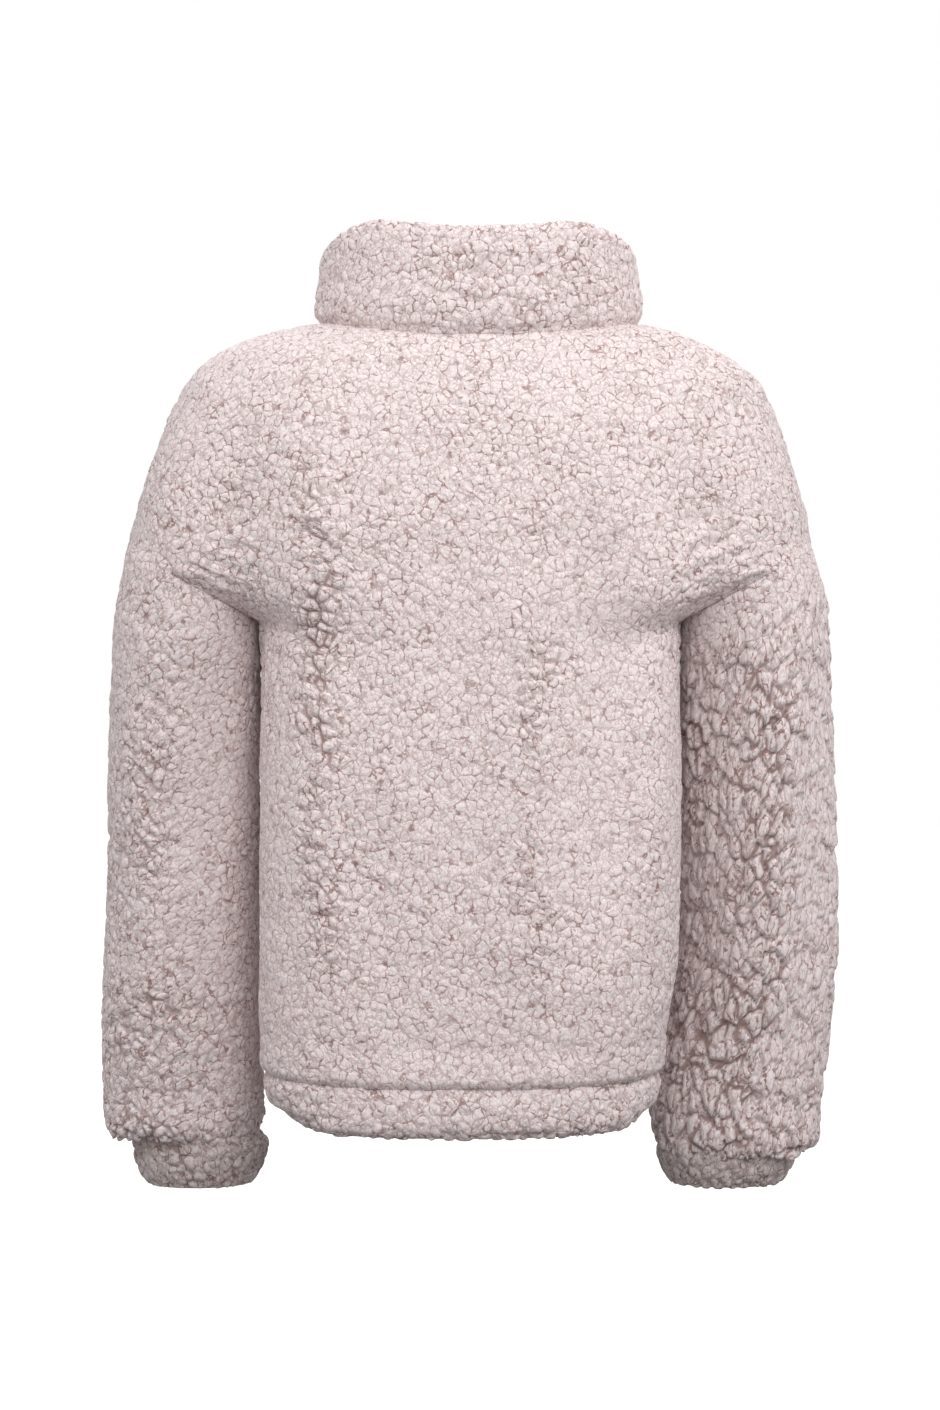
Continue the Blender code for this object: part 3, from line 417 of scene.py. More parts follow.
def pile(points, clump, length, seed, calm, bold):
    """How far the pile stands out of the plain surface at points, and how deep and how open it is.

    Rounded clumps on soft swells. The cracks between them are shallow where the pile lies calm
    and deep where it is bold; the last axis of the second result is depth, then openness.
    """
    stretch = np.array([1.0, 1.0, clump / length])
    wander = drift(points, WANDER_SIZE * clump, seed) - 0.5
    shaken = points + wander * WANDER_SHARE * clump
    swell = drift(points, SWELL_SIZE, seed + 1)[..., 0]
    fine_swell = drift(points, FINE_SWELL_SIZE, seed + 2)[..., 1]
    openness = OPEN_PLAIN + OPEN_SWELL * swell + OPEN_FINE * (fine_swell - 0.5) + bold - calm
    openness = np.clip(openness, 0.0, OPEN_MOST)
    broken = openness - OPEN_CRACKS
    near, crack, up = clumps(shaken * stretch, clump, seed + 3)
    gap = 1 - smooth_step(crack / CRACK_WIDTH)
    lift = LUMP_HEIGHT * (drift(points, LUMP_SIZE, seed + 5)[..., 2] - 0.5) - PILE_SINK
    lift += (1 - np.clip(near, 0, 1) ** 2) * (DOME_PLAIN + DOME_OPEN * openness)
    lift -= gap * (CRACK_PLAIN + CRACK_OPEN * np.maximum(broken, 0))
    lift -= up * LOCK_LEAN * (length / clump - 1)
    deep = np.clip((1 - smooth_step(crack / CRACK_CORE)) * CORE_GAIN * broken, 0, 1)
    return lift, np.stack([deep, openness], axis=-1)


def uneven(points, seed):
    """From 0.55 to 1.45 of a seam's depth, in soft drifts 12 mm across."""
    return 0.55 + 0.9 * drift(points, 0.012, seed + 21)[..., 0]


def triangles(rows, columns, closed_rows=False, closed_columns=False, start=0):
    """Triangles over a grid of vertex numbers, two to a square."""
    number = np.arange(rows * columns).reshape(rows, columns) + start
    if closed_rows:
        number = np.concatenate([number, number[:1]])
    if closed_columns:
        number = np.concatenate([number, number[:, :1]], axis=1)
    a, b, c, d = number[:-1, :-1], number[:-1, 1:], number[1:, 1:], number[1:, :-1]
    first, second = np.stack([a, b, c], 2), np.stack([a, c, d], 2)
    return np.concatenate([first.reshape(-1, 3), second.reshape(-1, 3)])


def fan(edge, backing, at):
    """Triangles from a fine edge to the coarse edge of the backing behind it."""
    span = np.minimum(at[:-1].astype(int), len(backing) - 2)
    first = np.stack([edge[:-1], edge[1:], backing[span]], axis=1)
    ends = edge[np.searchsorted(at, np.arange(1, len(backing)) - 1e-9)]
    return np.concatenate([first, np.stack([ends, backing[1:], backing[:-1]], axis=1)])


def closed_mesh(name, points, faces, deep, backing_from=None):
    """Puts arrays into a mesh object, faces outwards, with the pile's depth and openness kept."""
    corners = points[faces]
    volume = (np.cross(corners[:, 0], corners[:, 1]) * corners[:, 2]).sum()
    if volume < 0:
        faces = faces[:, ::-1]
    mesh = bpy.data.meshes.new(name)
    mesh.from_pydata(points.tolist(), [], faces.tolist())
    mesh.polygons.foreach_set("use_smooth", np.ones(len(faces), bool))
    for kept, values in zip(("crack", "open"), deep.T):
        attribute = mesh.attributes.new(kept, "FLOAT", "POINT")
        attribute.data.foreach_set("value", values.astype(np.float32))
    if backing_from is not None:
        on_backing = (faces.max(axis=1) >= backing_from).astype(np.int32)
        mesh.polygons.foreach_set("material_index", on_backing)
    return into_scene(name, mesh)


def finer(values, row_at, column_at, closed, corners, sharp):
    """Values of a coarse grid read at the fine marks along its rows and its columns.

    Closed says whether the rows, then whether the columns, run round to their start.
    """
    tall = through(values, row_at, closed[0], corners, sharp)
    return np.swapaxes(through(np.swapaxes(tall, 0, 1), column_at, closed[1]), 0, 1)


def area_of(points):
    """Area of a fine grid: the sum over its points of the cross product of its two slopes."""
    return float(np.linalg.norm(np.cross(*np.gradient(points, axis=(0, 1))), axis=-1).sum())


LEAST_WALL = 0.0008
# How sharp a panel's corners are at the armhole's ends: on the column beside its edge, and on it
SIDE_SHARPNESS = (0.4, 1.0)
PANEL_SPACING, SLEEVE_SPACING, ROLL_SPACING, COLLAR_SPACING = 0.00162, 0.00158, 0.0016, 0.0015


def panel(name, grid, out, wall, spacing, closed, corners, finish):
    """A cloth panel: a fine piled face over a coarse plain backing, closed along its edges.

    The face is the smooth surface through the grid, moved out by the lift that the finish gives.
    Also gives the longest line across and down that surface, and its area.
    """
    row_at, column_at = marks(grid, spacing, 0), marks(grid, spacing, 1, closed)
    columns = grid.shape[1]
    sharp = np.zeros((columns, 1))
    if not closed:
        sharp[-2:, 0] = SIDE_SHARPNESS
    net = (row_at, column_at, (False, closed), corners, sharp)
    base, face_out, thick = finer(grid, *net), unit(finer(out, *net)), finer(wall[..., None], *net)
    lift, deep = finish(base)
    lift = np.maximum(lift, LEAST_WALL - thick[..., 0])
    face = base + face_out * lift[..., None]
    backing = grid - out * wall[..., None]
    count = face.shape[0] * face.shape[1]
    number = np.arange(count).reshape(face.shape[:2])
    back_number = np.arange(len(grid) * columns).reshape(-1, columns) + count
    faces = [
        triangles(*face.shape[:2], False, closed),
        triangles(len(grid), columns, False, closed, count)[:, ::-1],
    ]
    across = column_at
    if closed:
        number = np.concatenate([number, number[:, :1]], axis=1)
        back_number = np.concatenate([back_number, back_number[:, :1]], axis=1)
        across = np.append(column_at, columns)
    faces.append(fan(number[0], back_number[0], across)[:, ::-1])
    faces.append(fan(number[-1], back_number[-1], across))
    if not closed:
        faces.append(fan(number[:, 0], back_number[:, 0], row_at))
        faces.append(fan(number[:, -1], back_number[:, -1], row_at)[:, ::-1])
    points = np.concatenate([face.reshape(-1, 3), backing.reshape(-1, 3)])
    deep = np.concatenate([deep.reshape(-1, 2), np.zeros((len(grid) * columns, 2))])
    piece = closed_mesh(name, points, np.concatenate(faces), deep, count)
    flat = float(along(base, 1)[:, -1].max()), float(along(base, 0)[-1].max())
    return piece, flat, area_of(base)


def dress(piece, node_name, held, flat, area, *materials):
    """Gives a fleece piece its materials, hangs it on the jacket and hides the CAD part it stands for;
    how it lies is not used.
    """
    for material in materials:
        piece.data.materials.append(material)
    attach(piece, "jacket")
    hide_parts(node_name)


# Scales of the fleece's noises, to the metre: patches of open pile, breaks in the crack lines,
# the lines' uneven width, and the fibres with where they turn
PATCH_SCALE, BREAK_SCALE, WIDTH_SCALE, FIBRE_SCALE, TURN_SCALE = 70.0, 190.0, 300.0, 1150.0, 95.0
FIBRE_STRETCH, FIBRE_TURNS = 0.22, (0.35, -0.45)
# From where to where each of them counts, and how much
PATCH_SPAN, PATCH_GAIN, BREAK_SPAN, TURN_SPAN = (0.05, 0.85), 1.1, (0.38, 0.60), (0.42, 0.58)
WIDTH_MIDDLE, WIDTH_GAIN, FIBRE_MIDDLE, FIBRE_DARK = 0.47, 0.30, 0.47, 0.42
# Large and small cells to a clump, how near its edge, in cells, each one's line is full and gone,
# and how dark its painted crack shade is: plain, and what broken runs and open patches change
LARGE_CELLS, LARGE_LINE, LARGE_DARK, LARGE_BROKEN, LARGE_OPEN = 1.0, (0.012, 0.105), 0.38, 0.40, 0.22
SMALL_CELLS, SMALL_LINE, SMALL_DARK, SMALL_BROKEN = 2.1, (0.02, 0.16), 0.50, 0.26
# The mesh's own deep cracks darken the colour too, as painted shade: where they count, and how much
MESH_CRACK_SPAN, MESH_CRACK_DARK = (0.20, 0.90), 0.80
# The cells' edges wander by a share of the clump. The relief's shares: large cells, what open
# patches add to them, small cells and fibres
EDGE_WANDER_SCALE, EDGE_WANDER = 0.85, 0.9
LARGE_PILLOW, SMALL_PILLOW, PILLOW_PLAIN, PILLOW_OPEN = (0.0, 0.34), (0.0, 0.38), 0.34, 0.36
PILLOW_SMALL, PILLOW_FIBRE, PILLOW_HEIGHT, PILLOW_STRENGTH = 0.16, 0.34, 0.0013, 0.50


def fleece_look(name, tips, crack_shade, clump, length, slant):
    """Teddy fleece: pale tips, broken crack lines of two sizes in painted pink-brown shade, fine fibres,
    a sheen.

    The lines are the edges of cells drawn out along a line slanted from the upright by the angle
    given; more of them show where the mesh says that the pile is open or cracked.
    """
    made, nodes, links, shader = new_material(
        name,
        Roughness=1.0,
        Specular_IOR_Level=0.03,
        Sheen_Weight=0.30,
        Sheen_Roughness=0.55,
        Sheen_Tint=(1.0, 0.95, 0.95, 1.0),
        Subsurface_Weight=0.15,
        Subsurface_Radius=(1.0, 0.75, 0.70),
        Subsurface_Scale=0.0022,
    )

    def maths(operation, first, second, clamp=False):
        made_node = add(nodes, "ShaderNodeMath", operation=operation, use_clamp=clamp)
        for socket, value in zip(made_node.inputs, (first, second)):
            if isinstance(value, (int, float)):
                socket.default_value = value
            else:
                links.new(value, socket)
        return made_node.outputs[0]

    def plus(first, second):
        return maths("ADD", first, second)

    def times(first, second):
        return maths("MULTIPLY", first, second)

    def less(first, second):
        return maths("SUBTRACT", first, second)

    def ranged(value, low, high):
        """0 up to the low value and 1 from the high one on, in an S curve."""
        ramp = add(nodes, "ShaderNodeMapRange", From_Min=low, From_Max=high)
        ramp.interpolation_type = "SMOOTHSTEP"
        links.new(value, ramp.inputs["Value"])
        return ramp.outputs["Result"]

    def mapped(source, **values):
        made_node = add(nodes, "ShaderNodeMapping", **values)
        links.new(source, made_node.inputs["Vector"])
        return made_node.outputs[0]

    def noise(scale, detail, roughness, source):
        made_node = add(nodes, "ShaderNodeTexNoise", Scale=scale, Detail=detail, Roughness=roughness)
        links.new(source, made_node.inputs["Vector"])
        return made_node

    def vector(operation, first, second=None, **values):
        made_node = add(nodes, "ShaderNodeVectorMath", operation=operation, **values)
        links.new(first, made_node.inputs[0])
        if second is not None:
            links.new(second, made_node.inputs[1])
        return made_node

    place = add(nodes, "ShaderNodeTexCoord").outputs["Object"]
    turned = mapped(place, Rotation=(0.0, slant, 0.0))
    wander = noise(EDGE_WANDER_SCALE / clump, 4.0, 0.62, turned)
    wander = vector("SUBTRACT", wander.outputs["Color"])
    wander.inputs[1].default_value = (0.5, 0.5, 0.5)
    wander = vector("SCALE", wander.outputs[0], Scale=EDGE_WANDER * clump)
    shaken = vector("ADD", turned, wander.outputs[0])
    drawn_out = mapped(shaken.outputs[0], Scale=(1.0, 1.0, clump / length))

    def edge(scale):
        """Distance to the nearest edge between cells, in cells."""
        cells = add(nodes, "ShaderNodeTexVoronoi", feature="DISTANCE_TO_EDGE", Scale=scale)
        links.new(drawn_out, cells.inputs["Vector"])
        return cells.outputs["Distance"]

    # The mesh's own cracks and openness, the latter broken into patches
    depth = add(nodes, "ShaderNodeAttribute", attribute_name="crack").outputs["Fac"]
    openness = add(nodes, "ShaderNodeAttribute", attribute_name="open").outputs["Fac"]
    patches = times(less(noise(PATCH_SCALE, 3.0, 0.6, place).outputs["Fac"], 0.5), PATCH_GAIN)
    patch = ranged(plus(openness, patches), *PATCH_SPAN)
    broken = ranged(noise(BREAK_SCALE, 2.0, 0.5, place).outputs["Fac"], *BREAK_SPAN)
    # Fibres: noise combed two ways, one or the other in turn
    strands = []
    for turn in FIBRE_TURNS:
        combed = mapped(place, Rotation=(0.0, slant + turn, 0.0), Scale=(1.0, 1.0, FIBRE_STRETCH))
        strands.append(noise(FIBRE_SCALE, 2.0, 0.6, combed))
    choice = add(nodes, "ShaderNodeMix", data_type="FLOAT")
    turns = ranged(noise(TURN_SCALE, 2.0, 0.5, place).outputs["Fac"], *TURN_SPAN)
    links.new(turns, choice.inputs["Factor"])
    links.new(strands[0].outputs["Fac"], choice.inputs["A"])
    links.new(strands[1].outputs["Fac"], choice.inputs["B"])
    wisps = choice.outputs["Result"]
    # Crack lines of uneven width and the mesh's deep cracks, and how dark each is: painted shade in the
    # cracks between the clumps. The fibres add random tone.
    width = noise(WIDTH_SCALE, 3.0, 0.6, place).outputs["Fac"]
    rough = times(less(width, WIDTH_MIDDLE), WIDTH_GAIN)
    large, small = plus(edge(LARGE_CELLS / clump), rough), plus(edge(SMALL_CELLS / clump), rough)
    large_line = less(1.0, ranged(large, *LARGE_LINE))
    small_line = less(1.0, ranged(small, *SMALL_LINE))
    large_dark = plus(plus(LARGE_DARK, times(broken, LARGE_BROKEN)), times(patch, LARGE_OPEN))
    large_gap = times(large_line, large_dark)
    small_gap = times(small_line, less(SMALL_DARK, times(broken, SMALL_BROKEN)))
    gap = maths("MAXIMUM", large_gap, small_gap)
    gap = maths("MAXIMUM", gap, times(ranged(depth, *MESH_CRACK_SPAN), MESH_CRACK_DARK))
    gap = maths("ADD", gap, times(less(wisps, FIBRE_MIDDLE), FIBRE_DARK), True)
    blend = add(nodes, "ShaderNodeMix", data_type="RGBA")
    blend.inputs["A"].default_value = (*tips, 1.0)
    blend.inputs["B"].default_value = (*crack_shade, 1.0)
    links.new(gap, blend.inputs["Factor"])
    links.new(blend.outputs["Result"], shader.inputs["Base Color"])
    # Small relief on the mesh's clumps: the cells' pillows and the fibres
    risen = plus(PILLOW_PLAIN, times(patch, PILLOW_OPEN))
    pillow = times(ranged(large, *LARGE_PILLOW), risen)
    pillow = plus(pillow, times(ranged(small, *SMALL_PILLOW), PILLOW_SMALL))
    bump = add(nodes, "ShaderNodeBump", Strength=PILLOW_STRENGTH, Distance=PILLOW_HEIGHT)
    links.new(plus(pillow, times(wisps, PILLOW_FIBRE)), bump.inputs["Height"])
    links.new(bump.outputs["Normal"], shader.inputs["Normal"])
    return made


def patterned_look(name, pattern, dark, light, strength, distance, settings, **shading):
    """One fine pattern on Object coordinates mixes two close colours and lifts a light bump."""
    made, nodes, links, shader = new_material(name, **shading)
    grain = add(nodes, pattern, **settings)
    links.new(add(nodes, "ShaderNodeTexCoord").outputs["Object"], grain.inputs["Vector"])
    ramp = add(nodes, "ShaderNodeValToRGB")
    ramp.color_ramp.elements[0].color = (*dark, 1.0)
    ramp.color_ramp.elements[1].color = (*light, 1.0)
    links.new(grain.outputs["Fac"], ramp.inputs["Fac"])
    links.new(ramp.outputs["Color"], shader.inputs["Base Color"])
    bump = add(nodes, "ShaderNodeBump", Strength=strength, Distance=distance)
    links.new(grain.outputs["Fac"], bump.inputs["Height"])
    links.new(bump.outputs["Normal"], shader.inputs["Normal"])
    return made


# The pile's own colour at its tips, and the painted pink-brown shade in the cracks between its clumps
TIPS, CRACK_SHADE = (0.870, 0.780, 0.784), (0.32, 0.195, 0.175)
body_fleece = fleece_look("body_fleece", TIPS, CRACK_SHADE, 0.0060, 0.0062, 0.0)
# The plain knitted backing inside: fine ribs of stitches
RIBS = {"Scale": 260.0, "Distortion": 1.5, "Detail": 2.0}
BACKING_DARK, BACKING_LIGHT = (0.34, 0.26, 0.25), (0.52, 0.42, 0.41)
backing_knit = patterned_look(
    "knitted_backing", "ShaderNodeTexWave", BACKING_DARK, BACKING_LIGHT, 0.4, 0.0004, RIBS, Roughness=0.95
)

# Ridges where the pile breaks open along the hanging cloth, and calm valleys where it lies smooth.
# Columns: top_x, top_z, bottom_x, bottom_z, half_width, amount
BACK_BREAKS = (
    (0.093, -0.065, 0.090, -0.400, 0.010, 0.60),
    (0.070, -0.085, 0.086, -0.250, 0.008, 0.20),
    (-0.036, -0.145, -0.040, -0.420, 0.009, 0.55),
    (-0.124, -0.140, -0.106, -0.360, 0.012, 0.30),
    (0.062, -0.095, -0.040, -0.018, 0.005, 0.30),
    (0.141, -0.070, 0.130, -0.200, 0.010, 0.18),
    (-0.150, -0.080, -0.132, -0.210, 0.010, 0.20),
    (0.113, -0.190, 0.112, -0.460, 0.010, -0.35),
    (-0.078, -0.120, -0.090, -0.350, 0.020, -0.75),
    (0.010, -0.150, 0.015, -0.330, 0.040, -0.15),
)
FRONT_BREAKS = (
    (0.104, -0.130, 0.100, -0.410, 0.011, 0.7),
    (-0.104, -0.130, -0.098, -0.400, 0.011, 0.7),
    (0.045, -0.170, 0.050, -0.440, 0.010, 0.5),
    (-0.052, -0.150, -0.048, -0.430, 0.010, 0.5),
    (0.085, -0.140, 0.076, -0.360, 0.016, -0.6),
    (-0.080, -0.140, -0.088, -0.360, 0.016, -0.6),
)
BODY_SEED, BODY_CLUMP, BODY_LOCK = 11, 0.0090, 0.0095
# How deep and how far from it a seam draws the pile in
NECK_GROOVE, HEM_GROOVE = (0.0012, 0.006), (0.0010, 0.004)
SIDE_GROOVE, ZIP_GROOVE = (0.0003, 0.003), (0.0010, 0.006)
# The swell over the hem's groove: its height, and where it is full, starts to fall and how far
HEM_SWELL, HEM_SWELL_FULL, HEM_SWELL_FALLS, HEM_SWELL_FALL = 0.0022, 0.004, 0.005, 0.022
# How the ridges' lines wander: over what length, and how far
RIDGE_WANDER_SIZE, RIDGE_WANDER = 0.03, 0.02


def groove(gone, depth, reach):
    """How far the pile is drawn in near a seam, easing out with the distance gone from it."""
    return depth * (1 - smooth_step(gone / reach))


def from_line(points, line, reach):
    """Distance of every point from a line of points, worked out in blocks, no more than a reach."""
    away = [
        np.sqrt(((block[:, None] - line[None]) ** 2).sum(axis=2).min(axis=1))
        for block in np.array_split(points.reshape(-1, 3), 60)
    ]
    return np.minimum(np.concatenate(away), reach).reshape(points.shape[:-1])


def body_pile(face):
    """The pile of a body panel: clumps, breaks along its ridges, a swell above the hem, grooves."""

    def finish(base):
        gone_down = along(base, 0)
        from_hem = gone_down[-1:] - gone_down
        breaks = BACK_BREAKS if face == "back" else FRONT_BREAKS
        wander = (drift(base, RIDGE_WANDER_SIZE, BODY_SEED + 20)[..., 0] - 0.5) * RIDGE_WANDER
        broken = fold_lift(breaks, base[..., 0] + wander, base[..., 2])
        from_side = from_line(base, base[:, -1], 2 * SIDE_GROOVE[1])
        if face == "back":
            from_side = np.minimum(from_side, from_line(base, base[:, 0], 2 * SIDE_GROOVE[1]))
        calm, bold = np.maximum(-broken, 0), np.maximum(broken, 0)
        lift, deep = pile(base, BODY_CLUMP, BODY_LOCK, BODY_SEED, calm, bold)
        rising = smooth_step(from_hem / HEM_SWELL_FULL)
        falling = smooth_step((from_hem - HEM_SWELL_FALLS) / HEM_SWELL_FALL)
        lift += HEM_SWELL * rising * (1 - falling)
        drawn_in = groove(gone_down, *NECK_GROOVE) + groove(from_hem, *HEM_GROOVE)
        drawn_in += groove(from_side, *SIDE_GROOVE)
        lift -= uneven(base, BODY_SEED) * drawn_in
        if face == "front":
            lift = np.minimum(lift, 0.0) - groove(along(base, 1), *ZIP_GROOVE)
        return lift, deep

    return finish


def wall_of(grid, edges):
    """Wall thickness at every point: thin on the edges given, and full further in."""
    away = np.linalg.norm(grid.reshape(-1, 1, 3) - np.concatenate(edges)[None], axis=2).min(axis=1)
    return np.minimum(PILE_WALL, SEAM_WALL + WALL_GROWTH * away).reshape(grid.shape[:2])


even = np.linspace(0, 1, HALF_COLUMNS + 1)
front_shares = np.concatenate([[0.0, ZIP_FLAT_SHARE], np.linspace(ZIP_RISE_SHARE, 1, HALF_COLUMNS - 1)])
halves = {
    (side, face): half_panel(side, face, even if face == "back" else front_shares)
    for side in (1, -1)
    for face in ("back", "front")
}
ring_rows = slice(SHOULDER_ROWS, SHOULDER_ROWS + RING_ROWS + 1)
body_rows = SHOULDER_ROWS + RING_ROWS + SIDE_ROWS + 1
seam_rows = np.r_[0 : ring_rows.start + 1, ring_rows.stop - 1 : body_rows]
for side in (1, -1):
    halves[side, "front"][seam_rows, -1] = halves[side, "back"][seam_rows, -1]


EASE_REACH, EASE_TIMES, EASE_SHARE, EASE_ACROSS = 5, 6, 0.7, (-1.2, 1.4)


def ease(grid, middle_row, reach, times):
    """Draws a half's rows near one row to the mean of their neighbours, most by the side."""
    rows = slice(middle_row - reach, middle_row + reach + 1)
    near_row = 1 - np.abs(np.linspace(-1, 1, 2 * reach + 1)) ** 2
    near_side = smooth_step(np.linspace(*EASE_ACROSS, HALF_COLUMNS + 1))
    near_side[-1] = 0
    weight = EASE_SHARE * np.outer(near_row, near_side)[..., None]
    for _ in range(times):
        above, below = grid[rows.start - 1 : rows.stop - 1, :], grid[rows.start + 1 : rows.stop + 1, :]
        grid[rows] += weight * ((above + below) / 2 - grid[rows])


# The shallow crease over the armhole: where it starts across, how far it rises and falls, its top
# and foot, and its depth
ARM_CREASE_X, ARM_CREASE_STEEP, ARM_CREASE_OUT, ARM_CREASE_DEPTH = 0.130, 0.012, 0.026, 0.0040
ARM_CREASE_TOP, ARM_CREASE_FADE, ARM_CREASE_FOOT = -0.095, 0.045, -0.19
for half in halves.values():
    ease(half, SHOULDER_ROWS, EASE_REACH, EASE_TIMES)
    across = np.abs(half[..., 0]) - ARM_CREASE_X
    crease = smooth_step(across / ARM_CREASE_STEEP)
    crease *= 1 - smooth_step((across - ARM_CREASE_STEEP) / ARM_CREASE_OUT)
    crease *= smooth_step((ARM_CREASE_TOP - half[..., 2]) / ARM_CREASE_FADE)
    crease *= half[..., 2] > ARM_CREASE_FOOT
    half[:, :-1, 1] -= (np.sign(half[..., 1]) * ARM_CREASE_DEPTH * crease)[:, :-1]
back = np.concatenate([halves[1, "back"][:, ::-1], halves[-1, "back"][:, 1:]], axis=1)
neck = np.concatenate([halves[1, "front"][0, :-1], back[0], halves[-1, "front"][0, -2::-1]])
hem = np.concatenate([halves[1, "front"][-1, :-1], back[-1], halves[-1, "front"][-1, -2::-1]])
neck_away = level_out(neck)
# The pile at the neck's seam leans up, most over the shoulders
NECK_LEAN, SHOULDER_LEAN = 0.25, 0.6
neck_out = unit(neck_away + np.outer(NECK_LEAN + SHOULDER_LEAN * neck_away[:, 0] ** 2, [0, 0, 1]))
hem_out = level_out(hem)
ring_angle = np.linspace(0, np.pi, RING_ROWS + 1)


def seam_out(side, face):
    """Outward along a half's own side edge: square to the shoulder seam, round the armhole, level."""
    edge = halves[side, face][:, -1]
    out = np.tile([float(side), 0.0, 0.0], (len(edge), 1))
    run = np.gradient(edge[: ring_rows.start + 1], axis=0)
    out[: ring_rows.start + 1] = unit(np.stack([-side * run[:, 2], 0 * run[:, 0], side * run[:, 0]], 1))
    turned = ring_out(ring_angle, side)
    if face == "front":
        turned[:, 1] *= -1
    out[ring_rows] = turned
    return out


def body_panel(name, grid, ends_out, side_edges, thin_edges):
    """A body panel in its place: its outward directions and wall are set, then it is dressed.

    Side edges hold columns and the outward directions along them. The wall is thin at the edges
    given, and at the zip on a front.
    """
    out = away_from(outward_of(grid), grid, grid * [0, 0, 1])
    if name != "back":
        out[:, :2] = unit(out[:, :2] * [0, 1, 1])
    for column, edge_out in side_edges:
        out[:, column] = edge_out
    out[0], out[-1] = ends_out
    wall = wall_of(grid, thin_edges)
    if name != "back":
        wall[:, :2] = EDGE_WALL
    corner_rows = (ring_rows.start, ring_rows.stop - 1)
    finish = body_pile("back" if name == "back" else "front")
    piece, flat, area = panel(
        name + "_panel", grid, out, wall, PANEL_SPACING, False, corner_rows, finish
    )
    dress(piece, name, "hung", flat, area, body_fleece, backing_knit)


count = HALF_COLUMNS + 1
back_columns = slice(HALF_COLUMNS, HALF_COLUMNS + back.shape[1])
sides_out = (0, seam_out(1, "back")), (-1, seam_out(-1, "back"))
edges = [back[0], back[-1], back[:, 0], back[:, -1]]
body_panel("back", back, (neck_out[back_columns], hem_out[back_columns]), sides_out, edges)
for side, name in ((1, "front_left"), (-1, "front_right")):
    grid = halves[side, "front"]
    ends_out = neck_out[::side][:count], hem_out[::side][:count]
    edges = [grid[0], grid[-1], grid[:, -1]]
    body_panel(name, grid, ends_out, [(-1, seam_out(side, "front"))], edges)

# Sleeves: one tube each, set into the dropped armhole with a sewn ridge and closed by a seam on
# the inner side. The pile of the wearer's left one lies short, the right one's in hanging locks.
SLEEVE_LEVELS = {
    1: (
        (RING_MIDDLE_Z, RING_MIDDLE_X, 0.0, RING_HALF_WIDTH, RING_HALF_DEPTH, RING_TILT),
        (-0.1950, 0.1743, -0.0010, 0.0452, 0.0580, 0.380),
        (-0.2350, 0.1762, -0.0045, 0.0466, 0.0550, 0.200),
        (-0.2750, 0.1777, -0.0090, 0.0473, 0.0530, 0.090),
        (-0.3200, 0.1779, -0.0140, 0.0478, 0.0520, 0.020),
        (-0.3650, 0.1792, -0.0190, 0.0482, 0.0515, 0.000),
        (-0.4100, 0.1805, -0.0240, 0.0494, 0.0515, 0.000),
        (-0.4500, 0.1803, -0.0280, 0.0503, 0.0510, 0.010),
        (-0.4770, 0.1795, -0.0305, 0.0505, 0.0500, 0.020),
    ),
    -1: (
        (RING_MIDDLE_Z, RING_MIDDLE_X, 0.0, RING_HALF_WIDTH, RING_HALF_DEPTH, RING_TILT),
        (-0.1950, 0.1754, -0.0010, 0.0459, 0.0580, 0.400),
        (-0.2350, 0.1770, -0.0060, 0.0470, 0.0555, 0.210),
        (-0.2750, 0.1792, -0.0125, 0.0480, 0.0535, 0.090),
        (-0.3200, 0.1800, -0.0200, 0.0488, 0.0525, 0.020),
        (-0.3650, 0.1812, -0.0285, 0.0495, 0.0520, 0.000),
        (-0.4100, 0.1792, -0.0370, 0.0506, 0.0520, -0.020),
        (-0.4500, 0.1740, -0.0450, 0.0522, 0.0515, -0.030),
        (-0.4880, 0.1682, -0.0500, 0.0536, 0.0515, -0.030),
    ),
}
# The sleeve's end puffs out and hangs over the cuff, which is sewn in a little higher: shares of
# the last section, and heights below it
SLEEVE_END = ((0.995, -0.0115), (0.960, -0.0220), (0.880, -0.0285))
CUFF_SEAM = ((0.990, -0.0100), (0.930, -0.0175), (0.830, -0.0205))
SLEEVE_ROWS = 17
SLEEVE_EASE, SLEEVE_END_DOWN = 0.060, 0.8
END_WAVE_SIZE, END_WAVE_HEIGHT, END_WAVE_SHARES = 0.016, 0.0085, (0.5, 1.0, 1.0)
# Folds of the sleeves, by angle round the arm: 0 outside, 90 back, 180 inside, 270 front.
# Columns: top_angle, top_z, bottom_angle, bottom_z, half_angle, height
SLEEVE_FOLDS = {
    1: (
        (120, -0.205, 100, -0.330, 24, -0.0035),
        (60, -0.250, 75, -0.440, 24, 0.0030),
        (285, -0.210, 255, -0.330, 24, -0.0040),
        (310, -0.300, 290, -0.450, 24, 0.0030),
    ),
    -1: (
        (75, -0.205, 105, -0.430, 20, 0.0055),
        (40, -0.210, 60, -0.440, 22, -0.0035),
        (130, -0.210, 150, -0.400, 20, -0.0030),
        (280, -0.210, 250, -0.340, 24, -0.0040),
        (310, -0.300, 290, -0.450, 24, 0.0030),
    ),
}


